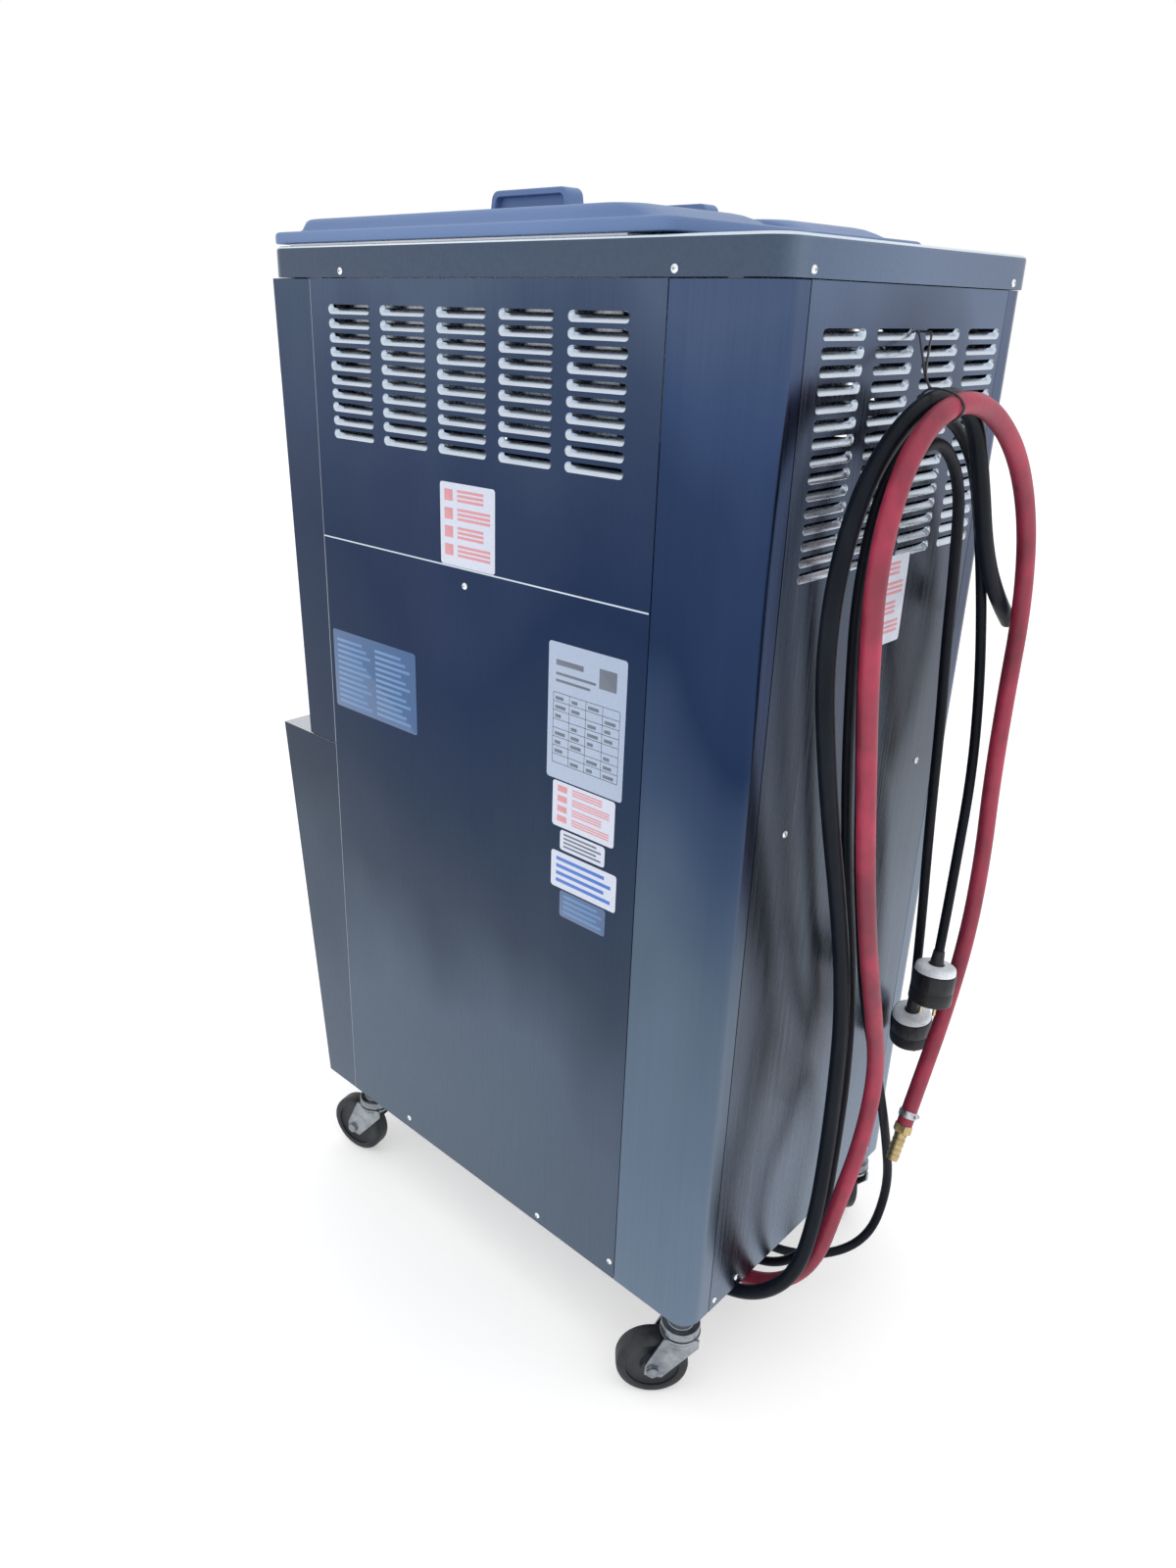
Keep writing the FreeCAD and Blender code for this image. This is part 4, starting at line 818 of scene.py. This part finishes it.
def build_plugs():
    """Two-pin plugs with a pale cap ring on the cord side, and the hose's clamp and tail."""
    shell = surface("plug_shell", (0.012, 0.013, 0.017), (0.025, 0.026, 0.031), roughness=0.36,
                    specular=0.3, grain=300, grain_mix=0.25, blotch=30.0, bump=0.0001)
    pale = surface("plug_cap", tone(232, 236, 242), tone(206, 212, 222), roughness=0.42,
                   grain=300, grain_mix=0.12, blotch=40.0)
    blade = surface("plug_blade", (0.62, 0.50, 0.28), metallic=1.0, roughness=0.28,
                    grain=300, grain_mix=0.2)
    made = {}
    for side, route in (("left", LEFT_ROUTE), ("right", RIGHT_ROUTE)):
        at = end_frame(route)
        bm = bmesh.new()
        spun(bm, [(-0.020, 0.0067), (-0.019, 0.0076), (-0.001, 0.0092), (0.0, 0.0110)], at, 32, 0)
        spun(bm, [(0.0002, 0.0150), (0.0010, 0.0235), (0.0030, 0.0262), (0.0060, 0.0272),
                  (0.0105, 0.0276), (0.0110, 0.0262), (0.0111, 0.0200)], at, 48, 1)
        spun(bm, [(0.0111, 0.0200), (0.0112, 0.0268), (0.0118, 0.0284), (0.0135, 0.0290),
                  (0.0340, 0.0290), (0.0350, 0.0284), (0.0358, 0.0284), (0.0368, 0.0290),
                  (0.0520, 0.0290), (0.0545, 0.0284), (0.0557, 0.0268), (0.0560, 0.0200)],
                 at, 48, 0)
        for i in range(16):
            rib = at @ Matrix.Rotation(math.pi * 2 * i / 16, 4, "Z")
            bar(bm, (0.0284, -0.0017, 0.0150), (0.0290, 0.0017, 0.0330), 0.0002, 0, rib)
        for x in (-0.009, 0.009):
            spun(bm, [(0.0555, 0.0024), (0.0735, 0.0024), (0.0752, 0.0018), (0.0758, 0.0008)],
                 at @ Matrix.Translation((x, 0, 0)), 24, 2)
        name = "mains_plug_" + side
        made[side] = piece(name + "_moulded", mesh_from(bm, name, 40), "cabinet",
                           [shell, pale, blade], [name])
    at = end_frame(RED_ROUTE)
    brass = surface("tail_brass", (0.60, 0.46, 0.22), (0.42, 0.33, 0.18), metallic=1.0,
                    roughness=0.32, grain=300, grain_mix=0.25, blotch=60.0)
    band = surface("clamp_band", (0.62, 0.64, 0.67), (0.42, 0.43, 0.46), metallic=1.0,
                   roughness=0.30, grain=200, grain_mix=0.25, blotch=40.0)
    bm = bmesh.new()
    clamp = [(-0.0215, 0.0112), (-0.0213, 0.0122), (-0.0205, 0.0127), (-0.0120, 0.0127),
             (-0.0112, 0.0122), (-0.0110, 0.0112)]
    spun(bm, clamp, at, 48, 1)
    for i in range(20):
        notch = at @ Matrix.Rotation(math.pi * 2 * i / 20, 4, "Z")
        bar(bm, (0.0126, -0.0008, -0.0198), (0.0129, 0.0008, -0.0126), 0.0001, 1, notch)
    screw = at @ Matrix.Translation((0.0120, 0, -0.0163)) @ Matrix.Rotation(math.pi / 2, 4, "X")
    spun(bm, [(-0.0062, 0.0012), (-0.0060, 0.0022), (0.0040, 0.0022), (0.0042, 0.0030),
              (0.0066, 0.0030), (0.0068, 0.0014)], screw, 20, 1)
    spun(bm, [(0.0000, 0.0110), (0.0002, 0.0126), (0.0012, 0.0130), (0.0108, 0.0130),
              (0.0118, 0.0126), (0.0120, 0.0100)], at, 6, 0)
    tail = [(0.0118, 0.0078)]
    for i in range(5):
        start = 0.0140 + 0.0076 * i
        tail += [(start, 0.0080), (start + 0.0002, 0.0090), (start + 0.0074, 0.0080)]
    spun(bm, tail + [(0.0535, 0.0080), (0.0540, 0.0060)], at, 40, 0)
    made["fitting"] = piece("hose_fitting_turned", mesh_from(bm, "fitting", 40), "cabinet",
                            [brass, band], ["hose_fitting"])
    return made


def build_glands():
    """Folded bracket with hex gland nuts and tapered strain reliefs on the two mains cords."""
    plate = surface("gland_bracket", (0.30, 0.31, 0.33), (0.2, 0.21, 0.23), metallic=0.9,
                    roughness=0.42, grain=200, grain_mix=0.2)
    nylon = surface("gland_nylon", (0.022, 0.023, 0.026), (0.04, 0.041, 0.045),
                    roughness=0.45, grain=300, grain_mix=0.2)
    bm = bmesh.new()
    y = REAR - 0.145
    bar(bm, (0.0102, y, 0.1002), (0.1748, y + 0.003, 0.1868), 0.0008, 0)
    for route, radius in ((RED_ROUTE, 0.011), (BLACK_ROUTE, 0.010), (LEFT_ROUTE, 0.0065),
                          (RIGHT_ROUTE, 0.0065)):
        start = in_frame(route)[0]
        at = along(Vector((start.x, y + 0.0028, start.z)), Vector((0, 1, 0)))
        outer = radius + 0.004
        spun(bm, [(0, outer - 0.0012), (0.0002, outer), (0.0048, outer), (0.0050, outer - 0.0012)],
             at, 6, 1)
        spun(bm, [(0.0050, outer - 0.0010), (0.0080, outer - 0.0008), (0.0112, outer - 0.0014),
                  (0.0128, radius + 0.0012), (0.0130, radius * 0.8)], at, 32, 1)
    piece("cord_glands_moulded", mesh_from(bm, "glands", 35), "cabinet",
          [plate, nylon], ["cord_glands"])


def tapered_reliefs():
    """Ribbed sleeves that taper out along the mains cords from their glands."""
    nylon = surface("relief_rubber", (0.024, 0.025, 0.028), roughness=0.5, grain=300,
                    grain_mix=0.2)
    for side, route in (("left", LEFT_ROUTE), ("right", RIGHT_ROUTE)):
        points = in_frame(route)
        start, heading = points[0], points[1] - points[0]
        bm = bmesh.new()
        profile = []
        for i in range(8):
            z = 0.0005 + 0.0038 * i
            radius = 0.0098 - 0.00034 * i
            profile += [(z, radius), (z + 0.0024, radius - 0.0001), (z + 0.0026, radius - 0.0009),
                        (z + 0.0036, radius - 0.0010)]
        profile += [(profile[-1][0], 0.0068), (profile[0][0], 0.0068), profile[0]]
        spun(bm, profile, along(start, heading), 32, 0, capped=False)
        piece("strain_relief_" + side, mesh_from(bm, "relief_" + side, 50), "cabinet",
              [nylon])


WIRE_RADIUS, WIRE_SIDES = 0.0012, 10


def tube(bm, points, closed=False):
    """A thin round wire drawn smoothly through points."""
    spots = [Vector(p) for p in points]
    count = len(spots)
    path = []
    for i in range(count if closed else count - 1):
        near = [spots[(i + k) % count] if closed else spots[min(max(i + k, 0), count - 1)]
                for k in (-1, 0, 1, 2)]
        for step in range(8):
            t = step / 8
            path.append(0.5 * (2 * near[1] + (near[2] - near[0]) * t
                               + (2 * near[0] - 5 * near[1] + 4 * near[2] - near[3]) * t * t
                               + (3 * near[1] - near[0] - 3 * near[2] + near[3]) * t ** 3))
    if not closed:
        path.append(spots[-1])
    rings = []
    total = len(path)
    for i, spot in enumerate(path):
        ahead = path[(i + 1) % total] if closed else path[min(i + 1, total - 1)]
        before = path[i - 1] if closed or i else path[0]
        heading = (ahead - before).normalized()
        side = heading.cross(Vector((1, 0, 0.2))).normalized()
        other = heading.cross(side)
        rings.append([spot + WIRE_RADIUS * (math.cos(a) * side + math.sin(a) * other)
                      for a in (2 * math.pi * k / WIRE_SIDES for k in range(WIRE_SIDES))])
    if closed:
        rings.append(rings[0])
    loft(bm, rings, not closed, not closed)


def build_wire():
    """Two tie strands from the top louvres down to a loop round the hoses and cords."""
    wire = surface("tie_wire", (0.03, 0.032, 0.038), (0.06, 0.06, 0.065), metallic=0.4,
                   roughness=0.4, grain=300, grain_mix=0.2)
    bm = bmesh.new()
    for strand in ([(4, -2, 1371.5), (10, 8, 1371), (28, 24, 1352), (54, 44, 1331),
                    (70, 60, 1321)],
                   [(-24, -2, 1371.5), (-16, 9, 1371), (14, 24, 1358), (50, 42, 1335),
                    (70, 58, 1321.5)]):
        tube(bm, in_frame(strand))
    tube(bm, in_frame([(70, 58, 1321), (70, 84, 1318.5), (71, 97, 1305), (71, 84, 1290.5),
                       (71, 60, 1293.5), (70, 46.5, 1306)]), closed=True)
    return piece("hanger_wire_tied", mesh_from(bm, "wire", 60), "cabinet", [wire],
                 ["hose_hanger_wire"])


# ---------------------------------------------------------------- serving side

def knurled(bm, at, profile, count, deep):
    """A turned knob whose rim is fluted."""
    segments = count * 4
    rings = []
    for z, radius, fluted in profile:
        ring = []
        for i in range(segments):
            angle = 2 * math.pi * i / segments
            reach = radius - (deep * (0.5 - 0.5 * math.cos(count * angle)) if fluted else 0)
            ring.append(at @ Vector((reach * math.cos(angle), reach * math.sin(angle), z)))
        rings.append(ring)
    loft(bm, rings)


def build_door():
    """Door block with its ears and spouts, fluted hand nuts, pin and star-mouthed caps."""
    moulded = surface("door_moulding", (0.66, 0.68, 0.69), (0.58, 0.60, 0.62), roughness=0.22,
                      spread=0.05, grain=300, grain_mix=0.04, blotch=8.0, coat=0.3)
    soften("freezer_door", "door_plastic", moulded, width=0.0020, segments=3)
    black = surface("hand_nut", (0.03, 0.031, 0.034), (0.05, 0.05, 0.055), roughness=0.42,
                    grain=300, grain_mix=0.2)
    steel = surface("door_stud", (0.6, 0.61, 0.63), metallic=1.0, roughness=0.25,
                    grain=200, grain_mix=0.2)
    front = REAR - 0.840
    bm = bmesh.new()
    for x in (-0.140, 0.140):
        for z in (1.010, 1.140):
            at = along(Vector((x, front - 0.0002, z)), Vector((0, -1, 0)))
            knurled(bm, at, [(0, 0.0115, 0), (0.0008, 0.0128, 0), (0.0020, 0.0130, 1),
                             (0.0195, 0.0130, 1), (0.0222, 0.0122, 1), (0.0236, 0.0100, 0),
                             (0.0238, 0.0060, 0)], 12, 0.0014)
            spun(bm, [(-0.069, 0.0046), (-0.0690, 0.0050), (0.0000, 0.0050), (0.0001, 0.0040)],
                 at, 24, 1)
    piece("hand_screws_moulded", mesh_from(bm, "hand_screws", 40), "cabinet",
          [black, steel], ["door_hand_screws"])
    bm = bmesh.new()
    at = along(Vector((-0.138, REAR - 0.848, 1.200)), Vector((1, 0, 0)))
    spun(bm, [(0, 0.0030), (0.0012, 0.0040), (0.2748, 0.0040), (0.2760, 0.0030)], at, 32)
    piece("pivot_pin_turned", mesh_from(bm, "pin", 40), "cabinet", [steel],
          ["handle_pivot_pin"])
    white = surface("cap_moulding", (0.80, 0.80, 0.80), (0.74, 0.74, 0.75), roughness=0.3,
                    grain=300, grain_mix=0.04, blotch=20.0)
    bm = bmesh.new()
    for x in (-0.088, 0, 0.088):
        at = Matrix.Translation((x, REAR - 0.805, 0.948))
        star = []
        for z in (0.0, 0.0117):
            star.append([at @ Vector(((0.0090 - 0.0026 * (i % 2)) * math.cos(math.pi * i / 6),
                                      (0.0090 - 0.0026 * (i % 2)) * math.sin(math.pi * i / 6), z))
                         for i in range(12)])
        outer = [circle(at, r, z, 48) for r, z in (
            (0.0226, 0), (0.0236, 0.0006), (0.0240, 0.0016), (0.0240, 0.0288), (0.0236, 0.0300),
            (0.0212, 0.0300), (0.0212, 0.0117))]
        rows = loft(bm, outer, False, False)
        base = [bm.verts.new(p) for p in star[0]]
        top = [bm.verts.new(p) for p in star[1]]
        for i in range(12):
            j = (i + 1) % 12
            bm.faces.new((base[j], base[i], top[i], top[j]))
        for wide, star_row in ((rows[0], base), (rows[-1], top)):
            for i in range(12):
                j = (i + 1) % 12
                fan = [wide[(i * 4 + k) % 48] for k in range(5)]
                bm.faces.new([star_row[i], *fan, star_row[j]])
    piece("design_caps_moulded", mesh_from(bm, "caps", 35), "cabinet", [white],
          ["design_caps"])


def build_front_and_rest():
    """Handles, valves, bezel, lens, switches, tray, pan and the panels' rounded edges."""
    handle = surface("handle_moulding", (0.028, 0.029, 0.033), (0.045, 0.046, 0.05),
                     roughness=0.36, grain=300, grain_mix=0.2, bump=0.0001)
    valve = surface("valve_moulding", (0.78, 0.78, 0.76), (0.70, 0.70, 0.69), roughness=0.3,
                    grain=300, grain_mix=0.04, blotch=20.0)
    for side in ("left", "centre", "right"):
        soften("draw_handle_" + side, "handle_black", handle, width=0.0022, segments=3)
        soften("draw_valve_" + side, "valve_white", valve, width=0.0010)
    bezel = surface("bezel_gloss", (0.020, 0.022, 0.026), (0.03, 0.032, 0.038),
                    roughness=0.16, spread=0.05, grain=300, grain_mix=0.1, coat=0.5)
    soften("control_panel", "bezel_black", bezel, width=0.0020, segments=3, pierced=True)
    lens = surface("lens_smoked", (0.03, 0.05, 0.06), roughness=0.06, spread=0.02,
                   grain=200, grain_mix=0.1, coat=1.0)
    soften("display_lens", "lens_smoke", lens, width=0.0005)
    rocker = surface("rocker_moulding", (0.03, 0.03, 0.03), roughness=0.35, grain=300,
                     grain_mix=0.2)
    soften("power_switch", "switch_black", rocker, width=0.0012, segments=3)
    push = surface("push_moulding", (0.10, 0.22, 0.46), roughness=0.3, grain=300,
                   grain_mix=0.1)
    soften("select_button", "button_blue", push, width=0.0020, segments=3)
    tray = surface("tray_steel", (0.62, 0.64, 0.66), (0.48, 0.50, 0.53), metallic=1.0,
                   roughness=0.28, grain=(40, 260, 260), grain_mix=0.12, blotch=6.0, bump=0.00003)
    soften("drip_tray", "tray_steel", tray, width=0.0009)
    soften("drip_pan", "tray_steel", tray, width=0.0006)


def build_cabinet_panels():
    """Rounded edges for the outer sheets and procedural finishes for everything inside."""
    # The lower side sheets and the rear corners carry painted reflections by height in their steel.
    soften("side_panels_lower", "stainless_cabinet", steel_side(), width=0.0007)
    soften("corner_panels_rear", "stainless_cabinet", corner_steel(), width=0.0006)

    # Side faces of the front sheets take steel with a painted reflection by height; the faces to
    # the front take plain steel.
    def by_side(normal):
        return 0 if abs(normal.x) > 0.5 else 1

    front = surface("steel_front", (0.56, 0.58, 0.62), (0.44, 0.47, 0.52), metallic=1.0,
                    roughness=0.30, grain=UPRIGHT_GRAIN, grain_mix=0.10, blotch=2.0, bump=0.00004)
    flank = surface("steel_front_side", (0.06, 0.08, 0.1), metallic=1.0, roughness=0.30,
                    spread=0.07, grain=UPRIGHT_GRAIN, grain_mix=0.03, stops=FRONT_PAINTED_REFLECTION)
    soften("front_shell", "stainless_front", flank, front, width=0.0010, choose=by_side,
           pierced=True)
    soften("front_lower_panel", "stainless_front", flank, front, width=0.0010, choose=by_side)
    # The cap's top faces take the painted highlight, the faces round its edge the painted shading.
    soften("top_cover", "stainless_cabinet", *cap_steels(), width=0.0008, pierced=True,
           choose=lambda normal: 1 if normal.z > 0.5 else 0)
    # A thin lip along the split of each side sheet, in steel with a painted highlight as the bright
    # line there.
    lip = bmesh.new()
    for hand in (1, -1):
        low, high = sorted((hand * (HALF_WIDE - 0.0020), hand * (HALF_WIDE + 0.0007)))
        bar(lip, (low, SEAM_FRONT + 0.002, SPLIT - 0.0008),
            (high, SEAM_REAR - 0.002, SPLIT + 0.0012), 0.0003)
    piece("panel_split_lips", mesh_from(lip, "lips", 40), "cabinet",
          [steel_painted_highlight()])
    chassis = surface("chassis_zinc", (0.40, 0.41, 0.43), (0.28, 0.29, 0.31), metallic=0.9,
                      roughness=0.42, grain=120, grain_mix=0.2, blotch=8.0)
    dress(["base_frame", "frame_uprights"], chassis)
    hopper = surface("hopper_steel", (0.60, 0.62, 0.64), (0.50, 0.52, 0.55), metallic=1.0,
                     roughness=0.26, grain=(200, 200, 8), grain_mix=0.1, blotch=5.0)
    dress(["hoppers", "freezing_cylinders"], hopper)
    dress(["beater_right", "beater_left"], surface(
        "beater_moulding", (0.70, 0.70, 0.68), (0.6, 0.6, 0.58), roughness=0.35,
        grain=200, grain_mix=0.08, blotch=20.0))
    dress(["gear_units", "beater_motor"], surface(
        "cast_enamel", (0.24, 0.25, 0.26), (0.18, 0.19, 0.20), metallic=0.2, roughness=0.5,
        grain=150, grain_mix=0.2, blotch=10.0, bump=0.0003))
    dress(["motor_pulley", "gear_pulley_right", "gear_pulley_left"], surface(
        "pulley_iron", (0.20, 0.20, 0.21), (0.12, 0.12, 0.13), metallic=0.9, roughness=0.4,
        grain=150, grain_mix=0.25, blotch=20.0))
    dress(["drive_belts"], surface(
        "belt_rubber", (0.02, 0.02, 0.021), (0.04, 0.04, 0.04), roughness=0.7,
        grain=300, grain_mix=0.3))
    dress(["compressor"], surface(
        "compressor_enamel", (0.018, 0.018, 0.02), (0.035, 0.035, 0.04), roughness=0.28,
        grain=100, grain_mix=0.2, coat=0.3, bump=0.0002))
    dress(["condenser_coil"], surface(
        "condenser_fins", (0.50, 0.51, 0.52), (0.36, 0.37, 0.38), metallic=0.9,
        roughness=0.38, grain=(600, 20, 600), grain_mix=0.35))
    dress(["control_box"], surface(
        "box_powder", (0.42, 0.43, 0.44), (0.36, 0.37, 0.38), roughness=0.5,
        grain=300, grain_mix=0.1, bump=0.0001))


def cap_steels():
    """The cap's finish round its edge, a painted reflection that is lighter on the rounded corners
    as a painted highlight and darker on the two sides as painted shade, and on its top a painted
    highlight.
    """
    edge = surface("steel_cap_edge", (0.1, 0.12, 0.18), metallic=1.0, roughness=0.24, spread=0.06,
                   grain=200, grain_mix=0.05, across=True,
                   stops=[(0.0, tone(106, 122, 150)), (0.21, tone(96, 112, 138)),
                          (0.242, tone(104, 118, 138)), (0.256, tone(78, 92, 112)),
                          (0.2625, tone(78, 90, 110))])
    top = surface("steel_cap_top_painted_highlight", (0.78, 0.86, 0.92), (0.62, 0.72, 0.82), metallic=1.0,
                  roughness=0.24, spread=0.06, grain=200, grain_mix=0.05, blotch=3.0)
    return edge, top


def corner_steel():
    """Brushed steel of the rear corner panels, with a painted reflection in its base colour: dark
    blue high up, lighter low down.
    """
    return surface("steel_corner", (0.08, 0.10, 0.14), metallic=1.0, roughness=0.22, spread=0.06,
                   grain=UPRIGHT_GRAIN, grain_mix=0.04,
                   stops=[(0.12, tone(112, 130, 150)), (0.42, tone(100, 116, 136)),
                          (0.68, tone(82, 98, 116)), (0.86, tone(56, 72, 98)),
                          (1.00, tone(32, 48, 78)), (1.20, tone(42, 58, 90)),
                          (1.32, tone(56, 74, 108)), (1.44, tone(74, 90, 120))])


place_camera()
light_the_set()
lay_floor()
build_louvred_panels()
build_cabinet_panels()
build_covers()
build_screws()
build_labels()
build_casters()
build_glands()
tapered_reliefs()
wire = build_wire()
build_door()
build_front_and_rest()
ends = build_plugs()
ends["wire"] = wire
hang_cords()
